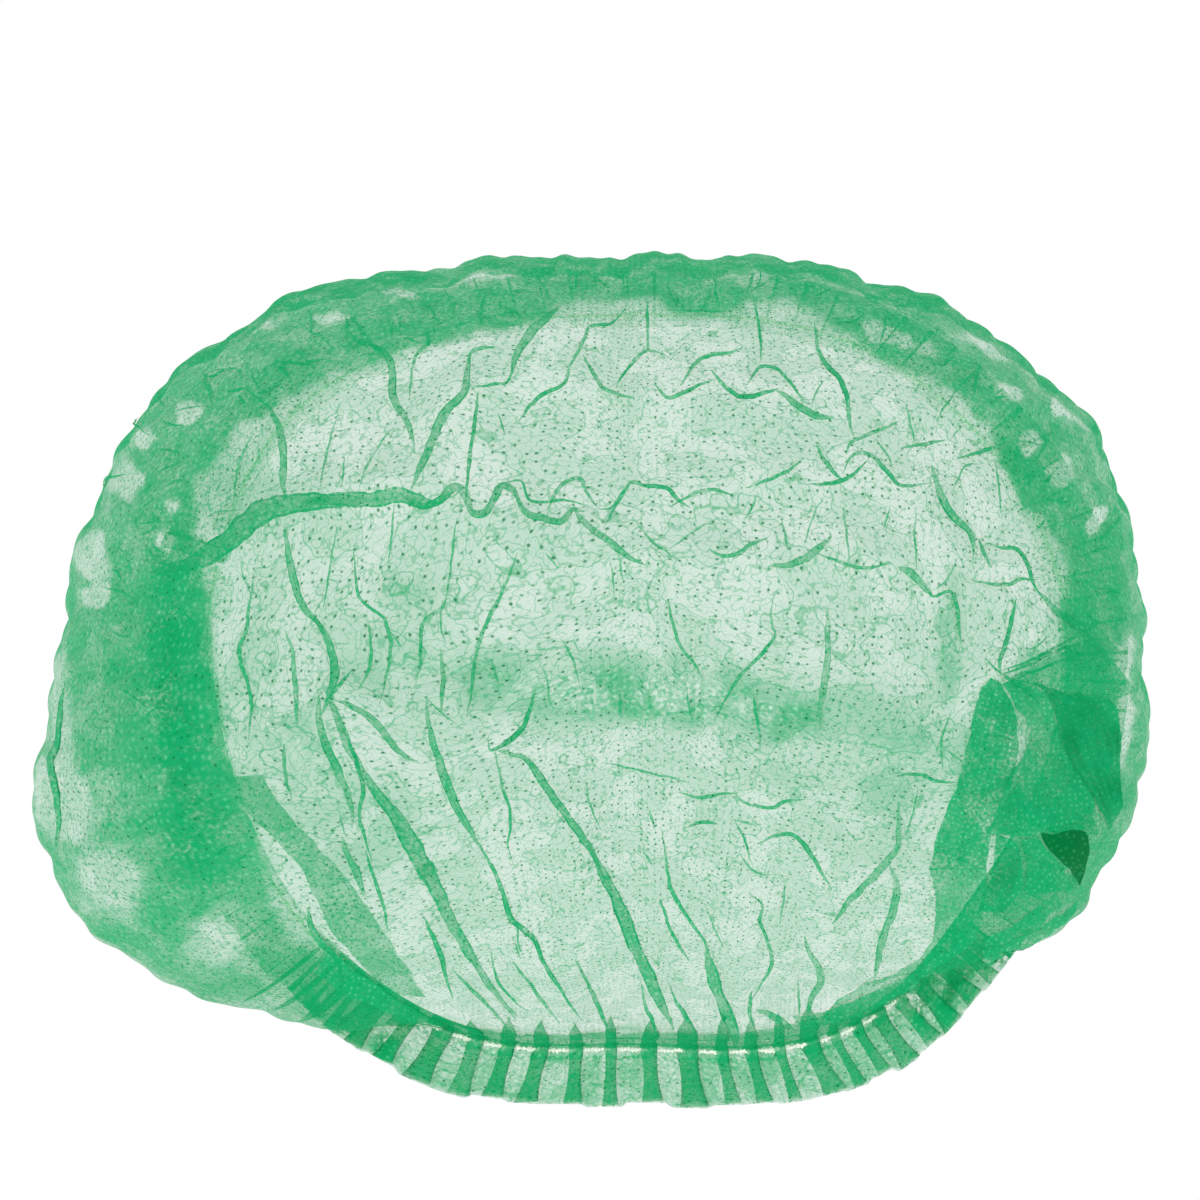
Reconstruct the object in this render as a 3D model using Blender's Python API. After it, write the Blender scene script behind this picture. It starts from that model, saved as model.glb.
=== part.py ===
"""Disposable crimped cap of non-woven cloth, lying puffed up on its own opening.

Units are metres, +Z is up and -Y is the front. The cap rests on z = 0, and the origin is the middle
of its footprint there. Azimuths are in degrees, anticlockwise from +X as seen from above.
"""
import math
from collections import namedtuple

import bmesh
import bpy
from mathutils import Vector

# Cloth and clearances
CLOTH_WALL = 0.0012
PIECE_GAP = 0.0003
SEAM_MARGIN = 0.0006

# Opening, drawn in by two elastic threads
OPENING_RADIUS = 0.110
ELASTIC_DIAMETER = 0.0010
ELASTIC_SIDES_LEVEL = 1

# Crown
CROWN_HEIGHT = 0.088
BULGE_HEIGHT = 0.028
OVERHANG = 0.055
DOME_POWER = 2.0
FOOT_HEIGHT = 0.007
GATHER_DEPTH = 0.0016
SCALLOP_DEPTH = 0.0015
CRIMP_RISE = 0.0018
CRIMP_LINES = 26
CRIMP_ZIGZAG = 0.30

# Ruffle outside the elastic
RUFFLE_WIDTH = 0.0145
PLEAT_PITCH = 0.0092
PLEAT_RISE = 0.0022

# End welds, at the two ends of the crimped strip
LEFT_WELD_AZIMUTH = 163.0
RIGHT_WELD_AZIMUTH = 337.0
WELD_WIDTH = 0.0040
WELD_RIDGE_RISE = 0.0008
WELD_RIDGES = 5

# Folds are charted as seen from the front, from this far above the level
SIGHT_ELEVATION = 62.0

# Radius of the elastic line round the opening, as a share of OPENING_RADIUS
RingRow = namedtuple("RingRow", "azimuth share")
ELASTIC_ROWS = (
    RingRow(0.0, 1.00),
    RingRow(30.0, 1.01),
    RingRow(60.0, 1.00),
    RingRow(90.0, 0.94),
    RingRow(115.0, 0.99),
    RingRow(140.0, 1.05),
    RingRow(165.0, 1.01),
    RingRow(195.0, 0.98),
    RingRow(225.0, 1.01),
    RingRow(247.0, 1.02),
    RingRow(270.0, 0.97),
    RingRow(298.0, 1.04),
    RingRow(322.0, 0.98),
    RingRow(342.0, 0.98),
)

# Reach of the crown's widest line past the elastic line, as a share of OVERHANG
OVERHANG_ROWS = (
    RingRow(0.0, 0.32),
    RingRow(20.0, 0.32),
    RingRow(40.0, 0.25),
    RingRow(60.0, 0.10),
    RingRow(90.0, 0.02),
    RingRow(118.0, 0.10),
    RingRow(140.0, 0.32),
    RingRow(160.0, 0.52),
    RingRow(175.0, 0.62),
    RingRow(190.0, 0.78),
    RingRow(204.0, 1.00),
    RingRow(218.0, 0.84),
    RingRow(232.0, 0.52),
    RingRow(246.0, 0.10),
    RingRow(262.0, 0.00),
    RingRow(298.0, 0.02),
    RingRow(312.0, 0.32),
    RingRow(324.0, 0.52),
    RingRow(338.0, 0.50),
)

# Waves along the crown's widest line: how many go round, where they start, and their share of SCALLOP_DEPTH
ScallopWave = namedtuple("ScallopWave", "waves phase share")
SCALLOP_WAVES = (
    ScallopWave(17, 0.4, 0.5),
    ScallopWave(29, 1.7, 0.5),
)

# Folds of the crown, as seen from SIGHT_ELEVATION. Each runs from a start through a middle to an end,
# at shares of OPENING_RADIUS across and up from the middle of the opening. Its breadth is a share of
# OPENING_RADIUS too, and its rise is a share of FOLD_RISE, below zero for a dent.
FOLD_RISE = 0.0060
Fold = namedtuple("Fold", "start middle end breadth rise")
FOLDS = (
    Fold((-1.02, 0.24), (-0.62, 0.42), (-0.02, 0.28), 0.080, 0.90),
    Fold((-0.02, 0.28), (0.28, 0.24), (0.55, 0.30), 0.080, 0.55),
    Fold((-0.20, 0.66), (0.25, 0.60), (0.75, 0.64), 0.075, 0.65),
    Fold((-0.02, 0.42), (0.42, 0.45), (0.84, 0.38), 0.075, 0.65),
    Fold((0.27, 0.26), (0.62, 0.28), (0.96, 0.16), 0.075, 0.60),
    Fold((-0.82, 0.60), (-0.80, 0.50), (-0.78, 0.41), 0.070, 0.60),
    Fold((-0.36, 0.71), (-0.42, 0.56), (-0.50, 0.42), 0.075, 0.80),
    Fold((-0.30, 0.70), (-0.22, 0.76), (-0.15, 0.82), 0.075, 0.65),
    Fold((-0.68, -0.07), (-0.54, -0.40), (-0.34, -0.74), 0.080, 0.90),
    Fold((-0.45, -0.06), (-0.32, -0.42), (-0.14, -0.76), 0.075, 0.85),
    Fold((-0.32, -0.16), (-0.10, -0.46), (0.07, -0.80), 0.080, 0.90),
    Fold((0.02, -0.30), (0.14, -0.56), (0.26, -0.80), 0.075, 0.60),
    Fold((-0.84, -0.26), (-0.68, -0.46), (-0.51, -0.66), 0.090, 0.95),
    Fold((-0.66, 0.05), (-0.52, -0.02), (-0.36, 0.06), 0.060, -0.50),
    Fold((0.80, -0.04), (0.78, -0.28), (0.80, -0.52), 0.070, 0.80),
    Fold((0.86, -0.02), (1.02, 0.00), (1.16, 0.06), 0.075, 0.80),
    Fold((0.86, -0.04), (1.00, -0.16), (1.12, -0.26), 0.080, -0.90),
    Fold((0.90, -0.34), (1.00, -0.38), (1.10, -0.42), 0.075, 0.95),
    Fold((0.92, -0.42), (1.02, -0.50), (1.08, -0.58), 0.075, -0.90),
)

# Share of a fold's run, at each end, that its taper leaves off
FOLD_END_TAPER = 0.15

# One pleat of the ruffle: how far along its pitch each bend lies, and its rise as a share of PLEAT_RISE
PleatBend = namedtuple("PleatBend", "place rise")
PLEAT_SHAPE = (
    PleatBend(0.28, 0.0),
    PleatBend(0.38, 1.0),
    PleatBend(0.62, 1.0),
    PleatBend(0.72, 0.0),
)

# Share of RUFFLE_WIDTH by which a raised pleat draws in the edge
PLEAT_TRIM = 0.05

# Folds and crimps fade out over this rise of the dome, in degrees, and where the crimp lines crowd
# together at the welds: they are full where the crimp lines' waist is over one part in this gain
RELIEF_FADE = 20.0
WAIST_GAIN = 2.5

# Half chord of the unit disc from which a column counts as straight
STRAIGHT_COLUMN = 0.999999

# Step along the profile, in radians, from which its outward direction is read
PROFILE_STEP = 0.02

# Depth of the gathers, as shares, on the rows from the foot's top out to the widest line
GATHER_SHARES = (0.9, 1.0, 0.7)

# Colours, linear
CLOTH_GREEN = (0.13, 0.56, 0.32, 1.0)
WELD_GREEN = (0.05, 0.36, 0.18, 1.0)
ELASTIC_WHITE = (0.86, 0.88, 0.86, 1.0)

# Roughness of each finish
CLOTH_ROUGHNESS = 0.75
WELD_ROUGHNESS = 0.45
ELASTIC_ROUGHNESS = 0.65

COLUMNS = round(math.pi * OPENING_RADIUS / PLEAT_PITCH)
ELASTIC_RADIUS = ELASTIC_DIAMETER / 2.0
FOOT_INSET = ELASTIC_RADIUS + PIECE_GAP
FOOT_BASE = CLOTH_WALL + PIECE_GAP
ELASTIC_LEVEL = CLOTH_WALL + PIECE_GAP + ELASTIC_RADIUS
ELASTIC_TOP = ELASTIC_LEVEL + ELASTIC_RADIUS
FLANGE_INSET = FOOT_INSET + CLOTH_WALL + SEAM_MARGIN
FLANGE_OUTSET = ELASTIC_RADIUS + SEAM_MARGIN


def read_ring(rows, azimuth):
    """Share at an azimuth, read smoothly from a closed table of ring rows."""
    place = azimuth % 360.0
    count = len(rows)
    index = max(i for i in range(count) if rows[i].azimuth <= place)

    def row(step):
        number = index + step
        return rows[number % count].azimuth + 360.0 * (number // count), rows[number % count].share

    (x0, y0), (x1, y1), (x2, y2), (x3, y3) = (row(step) for step in (-1, 0, 1, 2))
    span = x2 - x1
    t = (place - x1) / span
    slope_start = (y2 - y0) / (x2 - x0) * span
    slope_end = (y3 - y1) / (x3 - x1) * span
    return (
        y1 * (2.0 * t**3 - 3.0 * t**2 + 1.0)
        + slope_start * (t**3 - 2.0 * t**2 + t)
        + y2 * (3.0 * t**2 - 2.0 * t**3)
        + slope_end * (t**3 - t**2)
    )


def elastic_radius(azimuth):
    """Distance of the elastic line from the middle of the opening."""
    return OPENING_RADIUS * read_ring(ELASTIC_ROWS, azimuth)


def scallop(azimuth):
    """Small waves along the crown's widest line."""
    turn = math.radians(azimuth)
    swing = sum(wave.share * math.sin(wave.waves * turn + wave.phase) for wave in SCALLOP_WAVES)
    return SCALLOP_DEPTH * swing


def bulge_radius(azimuth):
    """Distance of the crown's widest line from the middle of the opening."""
    reach = OVERHANG * max(0.0, read_ring(OVERHANG_ROWS, azimuth))
    return elastic_radius(azimuth) - FOOT_INSET + reach + scallop(azimuth)


def underside_point(azimuth, angle):
    """Radius and height on the quarter ellipse from the foot's top out to the widest line."""
    start = elastic_radius(azimuth) - FOOT_INSET
    end = bulge_radius(azimuth)
    radius = start + (end - start) * math.sin(angle)
    height = FOOT_HEIGHT + (BULGE_HEIGHT - FOOT_HEIGHT) * (1.0 - math.cos(angle))
    return radius, height


def dome_point(azimuth, angle):
    """Radius and height on the dome, from the widest line up to the top."""
    power = 2.0 / DOME_POWER
    radius = bulge_radius(azimuth) * math.cos(angle) ** power
    height = BULGE_HEIGHT + (CROWN_HEIGHT - BULGE_HEIGHT) * math.sin(angle) ** power
    return radius, height


def in_plan(azimuth, radius, height):
    """Point in space at a radius and height on an azimuth."""
    turn = math.radians(azimuth)
    return Vector((radius * math.cos(turn), radius * math.sin(turn), height))


def seen(point):
    """Place of a point across and up, as seen from the front at SIGHT_ELEVATION."""
    tilt = math.radians(SIGHT_ELEVATION)
    return Vector((point.x, point.y * math.sin(tilt) + point.z * math.cos(tilt)))


def distance_to_stretch(place, start, end):
    """Distance of a place from a straight stretch, and how far along it the nearest point is."""
    run = end - start
    along = max(0.0, min(1.0, (place - start).dot(run) / run.length_squared))
    return (place - start - run * along).length, along


def fold_rise(place):
    """Height of the charted folds over the smooth dome at a seen place."""
    total = 0.0
    for fold in FOLDS:
        start, middle, end = (Vector(point) * OPENING_RADIUS for point in (fold.start, fold.middle, fold.end))
        breadth = fold.breadth * OPENING_RADIUS
        near_start, along_start = distance_to_stretch(place, start, middle)
        near_end, along_end = distance_to_stretch(place, middle, end)
        near = min(near_start, near_end)
        along = along_start / 2.0 if near_start < near_end else 0.5 + along_end / 2.0
        taper = math.sin(math.pi * (FOLD_END_TAPER + (1.0 - 2.0 * FOLD_END_TAPER) * along))
        total += FOLD_RISE * fold.rise * taper * math.exp(-((near / breadth) ** 2))
    return total


def outward(azimuth, section, angle):
    """Outward direction of the profile at an angle on one of its stretches."""
    lower = Vector(section(azimuth, max(0.0, angle - PROFILE_STEP)))
    upper = Vector(section(azimuth, min(math.pi / 2.0, angle + PROFILE_STEP)))
    run = (upper - lower).normalized()
    return in_plan(azimuth, run.y, -run.x)


def ring_azimuth(column):
    """Azimuth of a column of the crown, counted from the left weld by the front to the right and back."""
    front_span = RIGHT_WELD_AZIMUTH - LEFT_WELD_AZIMUTH
    if column <= COLUMNS:
        return LEFT_WELD_AZIMUTH + front_span * column / COLUMNS
    return RIGHT_WELD_AZIMUTH + (360.0 - front_span) * (column - COLUMNS) / COLUMNS


def foot_rows():
    """Points of the crown's lower rows, from the elastic line out under the widest line."""
    fine = [ring_azimuth(number / 2.0) for number in range(4 * COLUMNS)]
    foot_levels = (FOOT_BASE, ELASTIC_TOP + SEAM_MARGIN)
    rows = [[in_plan(a, elastic_radius(a) - FOOT_INSET, level) for a in fine] for level in foot_levels]
    for step, share in enumerate(GATHER_SHARES):
        angle = math.pi / 2.0 * step / len(GATHER_SHARES)
        row = []
        for number, azimuth in enumerate(fine):
            swing = GATHER_DEPTH * share * (1.0 if number % 2 == 0 else -1.0)
            point = in_plan(azimuth, *underside_point(azimuth, angle))
            row.append(point + outward(azimuth, underside_point, angle) * swing)
        rows.append(row)
    return rows


def on_rim(column):
    """Place of a column on the rim of the unit disc that the dome is charted on."""
    turn = math.radians(ring_azimuth(column))
    return Vector((math.cos(turn), math.sin(turn)))


def crimp_place(column, share):
    """Place on the unit disc at a share of a column's way from the front rim to the back rim.

    Each column is an arc that stands square on the rim, so the crimp lines fan out from the welds."""
    front = on_rim(column)
    back = on_rim(2 * COLUMNS - column)
    chord = (back - front) / 2.0
    half_angle = math.asin(min(chord.length, STRAIGHT_COLUMN))
    radius = math.tan(half_angle)
    swing = (math.pi / 2.0 - half_angle) * (2.0 * share - 1.0)
    along = chord.normalized() * radius * math.sin(swing)
    inward = -(back + front).normalized() * radius * (math.cos(swing) - math.sin(half_angle))
    return (back + front) / 2.0 + along + inward


def crimp_line_point(column, line):
    """Point of the dome where a crimp line, running from end weld to end weld, meets a column."""
    waist = math.sin(math.pi * column / COLUMNS)
    shift = CRIMP_ZIGZAG * waist * math.sin(math.pi * column / 2.0 + line)
    place = crimp_place(column, (line + shift) / CRIMP_LINES)
    azimuth = math.degrees(math.atan2(place.y, place.x))
    angle = math.pi / 2.0 * (1.0 - place.length)
    point = in_plan(azimuth, *dome_point(azimuth, angle))
    crimp = CRIMP_RISE * (1.0 if line % 2 == 0 else -1.0)
    fade = min(1.0, math.degrees(angle) / RELIEF_FADE) * min(1.0, waist * WAIST_GAIN)
    return point + outward(azimuth, dome_point, angle) * (fold_rise(seen(point)) + crimp) * fade


def add_object(name, body, material):
    """Object with its own mesh, made from a bmesh."""
    mesh = bpy.data.meshes.new(name)
    body.to_mesh(mesh)
    body.free()
    mesh.materials.append(material)
    piece = bpy.data.objects.new(name, mesh)
    bpy.context.scene.collection.objects.link(piece)
    return piece


def add_wall(piece):
    """Gives a sheet the thickness of the cloth, behind its face."""
    wall = piece.modifiers.new("cloth_wall", "SOLIDIFY")
    wall.thickness = CLOTH_WALL
    wall.offset = -1.0
    wall.use_rim = True


def plain_material(name, colour, roughness):
    """Material of one colour."""
    material = bpy.data.materials.new(name)
    material.use_nodes = True
    shader = material.node_tree.nodes["Principled BSDF"]
    shader.inputs["Base Color"].default_value = colour
    shader.inputs["Roughness"].default_value = roughness
    shader.inputs["Metallic"].default_value = 0.0
    return material


def join_foot(body, lower, upper):
    """Faces between two lower rows, or between a lower row and the widest line with half as many points."""
    count = len(upper)
    for a in range(count):
        b = (a + 1) % count
        if len(lower) == count:
            body.faces.new((lower[a], lower[b], upper[b], upper[a]))
        else:
            left, middle, right = lower[2 * a], lower[2 * a + 1], lower[2 * b]
            body.faces.new((left, middle, upper[a]))
            body.faces.new((middle, upper[b], upper[a]))
            body.faces.new((middle, right, upper[b]))


def make_crown(material):
    """Hollow puffed crown, open below inside the elastic line, crimped from end weld to end weld."""
    body = bmesh.new()
    azimuths = [ring_azimuth(column) for column in range(2 * COLUMNS)]
    widest = [body.verts.new(in_plan(a, bulge_radius(a), BULGE_HEIGHT)) for a in azimuths]
    rows = [[body.verts.new(point) for point in row] for row in foot_rows()]
    rows.append(widest)
    for lower, upper in zip(rows, rows[1:]):
        join_foot(body, lower, upper)
    lines = [widest[:COLUMNS + 1]]
    for line in range(1, CRIMP_LINES):
        inner = [body.verts.new(crimp_line_point(column, line)) for column in range(1, COLUMNS)]
        lines.append([widest[0], *inner, widest[COLUMNS]])
    lines.append([widest[-column % len(widest)] for column in range(COLUMNS + 1)])
    for front, back in zip(lines, lines[1:]):
        for column in range(COLUMNS):
            corners = (front[column], front[column + 1], back[column + 1], back[column])
            body.faces.new(dict.fromkeys(corners))
    crown = add_object("crown", body, material)
    crown.data.shade_smooth()
    add_wall(crown)
    return crown


def weld_half_turn(azimuth):
    """Half of the turn that an end weld and its two gaps take up, in degrees."""
    return math.degrees((WELD_WIDTH / 2.0 + PIECE_GAP) / (elastic_radius(azimuth) - FLANGE_INSET))


def edge_span(start, end):
    """Azimuths where one half of the edge starts and ends, between the two end welds."""
    return start + weld_half_turn(start), end - weld_half_turn(end)


def make_ruffle(name, start, end, material):
    """One half of the pleated edge: flat pleats on the surface with a raised fold between each two."""
    first, last = edge_span(start, end)
    arc = math.radians(last - first) * OPENING_RADIUS
    pleats = round(arc / PLEAT_PITCH)
    places = [(0.0, 0.0)]
    places += [(number + bend.place, bend.rise) for number in range(pleats) for bend in PLEAT_SHAPE]
    places.append((float(pleats), 0.0))
    body = bmesh.new()
    rows = []
    for place, rise in places:
        azimuth = first + (last - first) * place / pleats
        line = elastic_radius(azimuth)
        trim = RUFFLE_WIDTH * (1.0 - PLEAT_TRIM * rise)
        rows.append([
            body.verts.new(in_plan(azimuth, line - FLANGE_INSET, 0.0)),
            body.verts.new(in_plan(azimuth, line + FLANGE_OUTSET, 0.0)),
            body.verts.new(in_plan(azimuth, line + trim, PLEAT_RISE * rise)),
        ])
    for here, there in zip(rows, rows[1:]):
        for step in range(2):
            body.faces.new((here[step], there[step], there[step + 1], here[step + 1]))
    ruffle = add_object(name, body, material)
    add_wall(ruffle)
    return ruffle


def make_elastic(name, start, end, material):
    """Elastic thread along one half of the edge, against the crown's foot."""
    first, last = edge_span(start, end)
    count = round((last - first) / 180.0 * COLUMNS)
    curve = bpy.data.curves.new(name, "CURVE")
    curve.dimensions = "3D"
    curve.bevel_depth = ELASTIC_RADIUS
    curve.bevel_resolution = ELASTIC_SIDES_LEVEL
    curve.use_fill_caps = True
    line = curve.splines.new("POLY")
    line.points.add(count)
    for number, point in enumerate(line.points):
        azimuth = first + (last - first) * number / count
        point.co = (*in_plan(azimuth, elastic_radius(azimuth), ELASTIC_LEVEL), 1.0)
    curve.materials.append(material)
    thread = bpy.data.objects.new(name, curve)
    bpy.context.scene.collection.objects.link(thread)
    return thread


def make_weld(name, azimuth, material):
    """Pressed seam across the edge: a flat bar with small ridges, clear of the elastic thread."""
    line = elastic_radius(azimuth)
    turn = math.radians(azimuth)
    out = Vector((math.cos(turn), math.sin(turn), 0.0))
    side = Vector((-out.y, out.x, 0.0)) * (WELD_WIDTH / 2.0)
    ridge_start = line + FLANGE_OUTSET
    ridge_pitch = (RUFFLE_WIDTH - FLANGE_OUTSET) / (2 * WELD_RIDGES)
    stations = [(line - FLANGE_INSET, 0.0), (ridge_start, 0.0)]
    for number in range(1, 2 * WELD_RIDGES + 1):
        stations.append((ridge_start + ridge_pitch * number, WELD_RIDGE_RISE * (number % 2)))
    body = bmesh.new()
    section = []
    for radius, rise in stations:
        section.append(body.verts.new(out * radius - side + Vector((0.0, 0.0, CLOTH_WALL + rise))))
    for radius in (stations[-1][0], stations[0][0]):
        section.append(body.verts.new(out * radius - side))
    near = body.faces.new(section)
    far = bmesh.ops.extrude_face_region(body, geom=[near])
    moved = [item for item in far["geom"] if isinstance(item, bmesh.types.BMVert)]
    bmesh.ops.translate(body, verts=moved, vec=side * 2.0)
    bmesh.ops.recalc_face_normals(body, faces=body.faces)
    return add_object(name, body, material)


def stand_on_origin(pieces):
    """Moves the whole cap so that the origin is the middle of its footprint."""
    bpy.context.view_layer.update()
    graph = bpy.context.evaluated_depsgraph_get()
    points = []
    for piece in pieces:
        shape = piece.evaluated_get(graph)
        points += [vertex.co.copy() for vertex in shape.to_mesh().vertices]
        shape.to_mesh_clear()
    middle_x = (min(p.x for p in points) + max(p.x for p in points)) / 2.0
    middle_y = (min(p.y for p in points) + max(p.y for p in points)) / 2.0
    for piece in pieces:
        piece.location = (-middle_x, -middle_y, 0.0)


def main():
    for old in list(bpy.data.objects):
        bpy.data.objects.remove(old, do_unlink=True)
    cloth = plain_material("green_nonwoven", CLOTH_GREEN, CLOTH_ROUGHNESS)
    weld = plain_material("pressed_nonwoven", WELD_GREEN, WELD_ROUGHNESS)
    white = plain_material("white_elastic", ELASTIC_WHITE, ELASTIC_ROUGHNESS)
    pieces = [
        make_crown(cloth),
        make_ruffle("front_ruffle", LEFT_WELD_AZIMUTH, RIGHT_WELD_AZIMUTH, cloth),
        make_ruffle("back_ruffle", RIGHT_WELD_AZIMUTH - 360.0, LEFT_WELD_AZIMUTH, cloth),
        make_elastic("front_elastic", LEFT_WELD_AZIMUTH, RIGHT_WELD_AZIMUTH, white),
        make_elastic("back_elastic", RIGHT_WELD_AZIMUTH - 360.0, LEFT_WELD_AZIMUTH, white),
        make_weld("left_end_weld", LEFT_WELD_AZIMUTH, weld),
        make_weld("right_end_weld", RIGHT_WELD_AZIMUTH, weld),
    ]
    stand_on_origin(pieces)


main()
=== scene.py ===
"""Looks of a disposable crimped cap of green non-woven cloth, lying puffed up on its own opening.

Units are metres, +Z is up and -Y is the front. Azimuths are in degrees, anticlockwise from +X as seen
from above, about the middle of the cap's opening. Creases are charted in the photograph's pixels.
"""

import math
from collections import namedtuple
from functools import partial

import bpy
import numpy as np
from bpy.props import FloatProperty, FloatVectorProperty, IntProperty, PointerProperty
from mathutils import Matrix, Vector, noise
from mathutils.bvhtree import BVHTree


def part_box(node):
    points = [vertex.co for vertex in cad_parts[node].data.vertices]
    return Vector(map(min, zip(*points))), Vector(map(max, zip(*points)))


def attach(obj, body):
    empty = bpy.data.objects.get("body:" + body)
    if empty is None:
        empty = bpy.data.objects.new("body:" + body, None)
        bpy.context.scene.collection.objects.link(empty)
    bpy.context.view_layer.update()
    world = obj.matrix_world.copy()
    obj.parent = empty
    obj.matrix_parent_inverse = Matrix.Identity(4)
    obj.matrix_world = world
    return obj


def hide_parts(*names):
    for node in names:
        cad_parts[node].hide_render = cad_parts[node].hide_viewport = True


bl_info = {
    "name": "Crimped cap",
    "version": (1, 0, 0),
    "blender": (4, 5, 0),
    "location": "View3D > Sidebar > Crimped Cap",
    "description": "Builds a green non-woven crimped cap, its elastic edge and its studio",
    "category": "Object",
}

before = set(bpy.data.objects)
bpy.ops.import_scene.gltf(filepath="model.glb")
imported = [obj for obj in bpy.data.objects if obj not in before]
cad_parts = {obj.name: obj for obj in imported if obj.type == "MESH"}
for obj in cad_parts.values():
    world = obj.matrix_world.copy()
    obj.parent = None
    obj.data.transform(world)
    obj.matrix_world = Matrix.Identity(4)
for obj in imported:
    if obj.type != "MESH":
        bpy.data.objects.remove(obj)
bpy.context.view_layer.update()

# The middle of the opening, on the floor, is the middle of the two ruffles' joint box
RUFFLE_CORNERS = np.array([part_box("front_ruffle"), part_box("back_ruffle")])
OPENING_MIDDLE = (RUFFLE_CORNERS.min(axis=(0, 1)) + RUFFLE_CORNERS.max(axis=(0, 1))) / 2.0 * (1.0, 1.0, 0.0)

# The camera's place and directions, the point that it looks at, and a photograph pixel's size there
Sight = namedtuple("Sight", "eye target right up ahead pixel")

# Azimuths, and the elastic line's radius round the opening as a share of opening_radius
ELASTIC_ROWS = (
    (0.0, 1.00), (30.0, 1.01), (60.0, 1.00), (90.0, 0.94), (115.0, 0.99), (140.0, 1.05), (165.0, 1.01),
    (195.0, 0.98), (225.0, 1.01), (247.0, 1.02), (270.0, 0.97), (298.0, 1.04), (322.0, 0.98),
    (342.0, 0.98),
)

# Azimuths, and the reach of the crown's widest line past the elastic line as a share of overhang
OVERHANG_ROWS = (
    (0.0, 0.32), (20.0, 0.32), (40.0, 0.20), (60.0, 0.03), (90.0, -0.04), (118.0, 0.03), (140.0, 0.28),
    (160.0, 0.52), (175.0, 0.62), (190.0, 0.78), (204.0, 1.00), (218.0, 0.84), (232.0, 0.52),
    (246.0, 0.10), (262.0, 0.00), (298.0, 0.02), (312.0, 0.32), (324.0, 0.52), (338.0, 0.50),
)
LEAST_REACH = -0.06

# Waves along the widest line: how many go round, where they start, and their share of scallop_depth
SCALLOP_WAVES = ((17, 0.4, 0.5), (29, 1.7, 0.5), (61, 0.9, 0.26), (103, 2.1, 0.18))

# Main folds of the crown: start, middle and end at shares of opening_radius across and up from the
# opening's middle as seen from the front, the breadth as a share of opening_radius and the rise as a
# share of fold_rise
FOLDS = (
    ((-1.02, 0.24), (-0.62, 0.42), (-0.02, 0.28), 0.080, 0.90),
    ((-0.02, 0.28), (0.28, 0.24), (0.55, 0.30), 0.080, 0.55),
    ((-0.20, 0.66), (0.25, 0.60), (0.75, 0.64), 0.075, 0.65),
    ((-0.02, 0.42), (0.42, 0.45), (0.84, 0.38), 0.075, 0.65),
    ((0.27, 0.26), (0.62, 0.28), (0.96, 0.16), 0.075, 0.60),
    ((-0.82, 0.60), (-0.80, 0.50), (-0.78, 0.41), 0.070, 0.60),
    ((-0.36, 0.71), (-0.42, 0.56), (-0.50, 0.42), 0.075, 0.80),
    ((-0.30, 0.70), (-0.22, 0.76), (-0.15, 0.82), 0.075, 0.65),
    ((-0.68, -0.07), (-0.54, -0.40), (-0.34, -0.74), 0.080, 0.90),
    ((-0.45, -0.06), (-0.32, -0.42), (-0.14, -0.76), 0.075, 0.85),
    ((-0.32, -0.16), (-0.10, -0.46), (0.07, -0.80), 0.080, 0.90),
    ((0.02, -0.30), (0.14, -0.56), (0.26, -0.80), 0.075, 0.60),
    ((-0.84, -0.26), (-0.68, -0.46), (-0.51, -0.66), 0.090, 0.95),
    ((-0.66, 0.05), (-0.52, -0.02), (-0.36, 0.06), 0.060, -0.50),
    ((0.80, -0.04), (0.78, -0.28), (0.80, -0.52), 0.070, 0.80),
    ((0.86, -0.02), (1.02, 0.00), (1.16, 0.06), 0.075, 0.80),
    ((0.86, -0.04), (1.00, -0.16), (1.12, -0.26), 0.080, -0.90),
    ((0.90, -0.34), (1.00, -0.38), (1.10, -0.42), 0.075, 0.95),
    ((0.92, -0.42), (1.02, -0.50), (1.08, -0.58), 0.075, -0.90),
)

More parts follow.
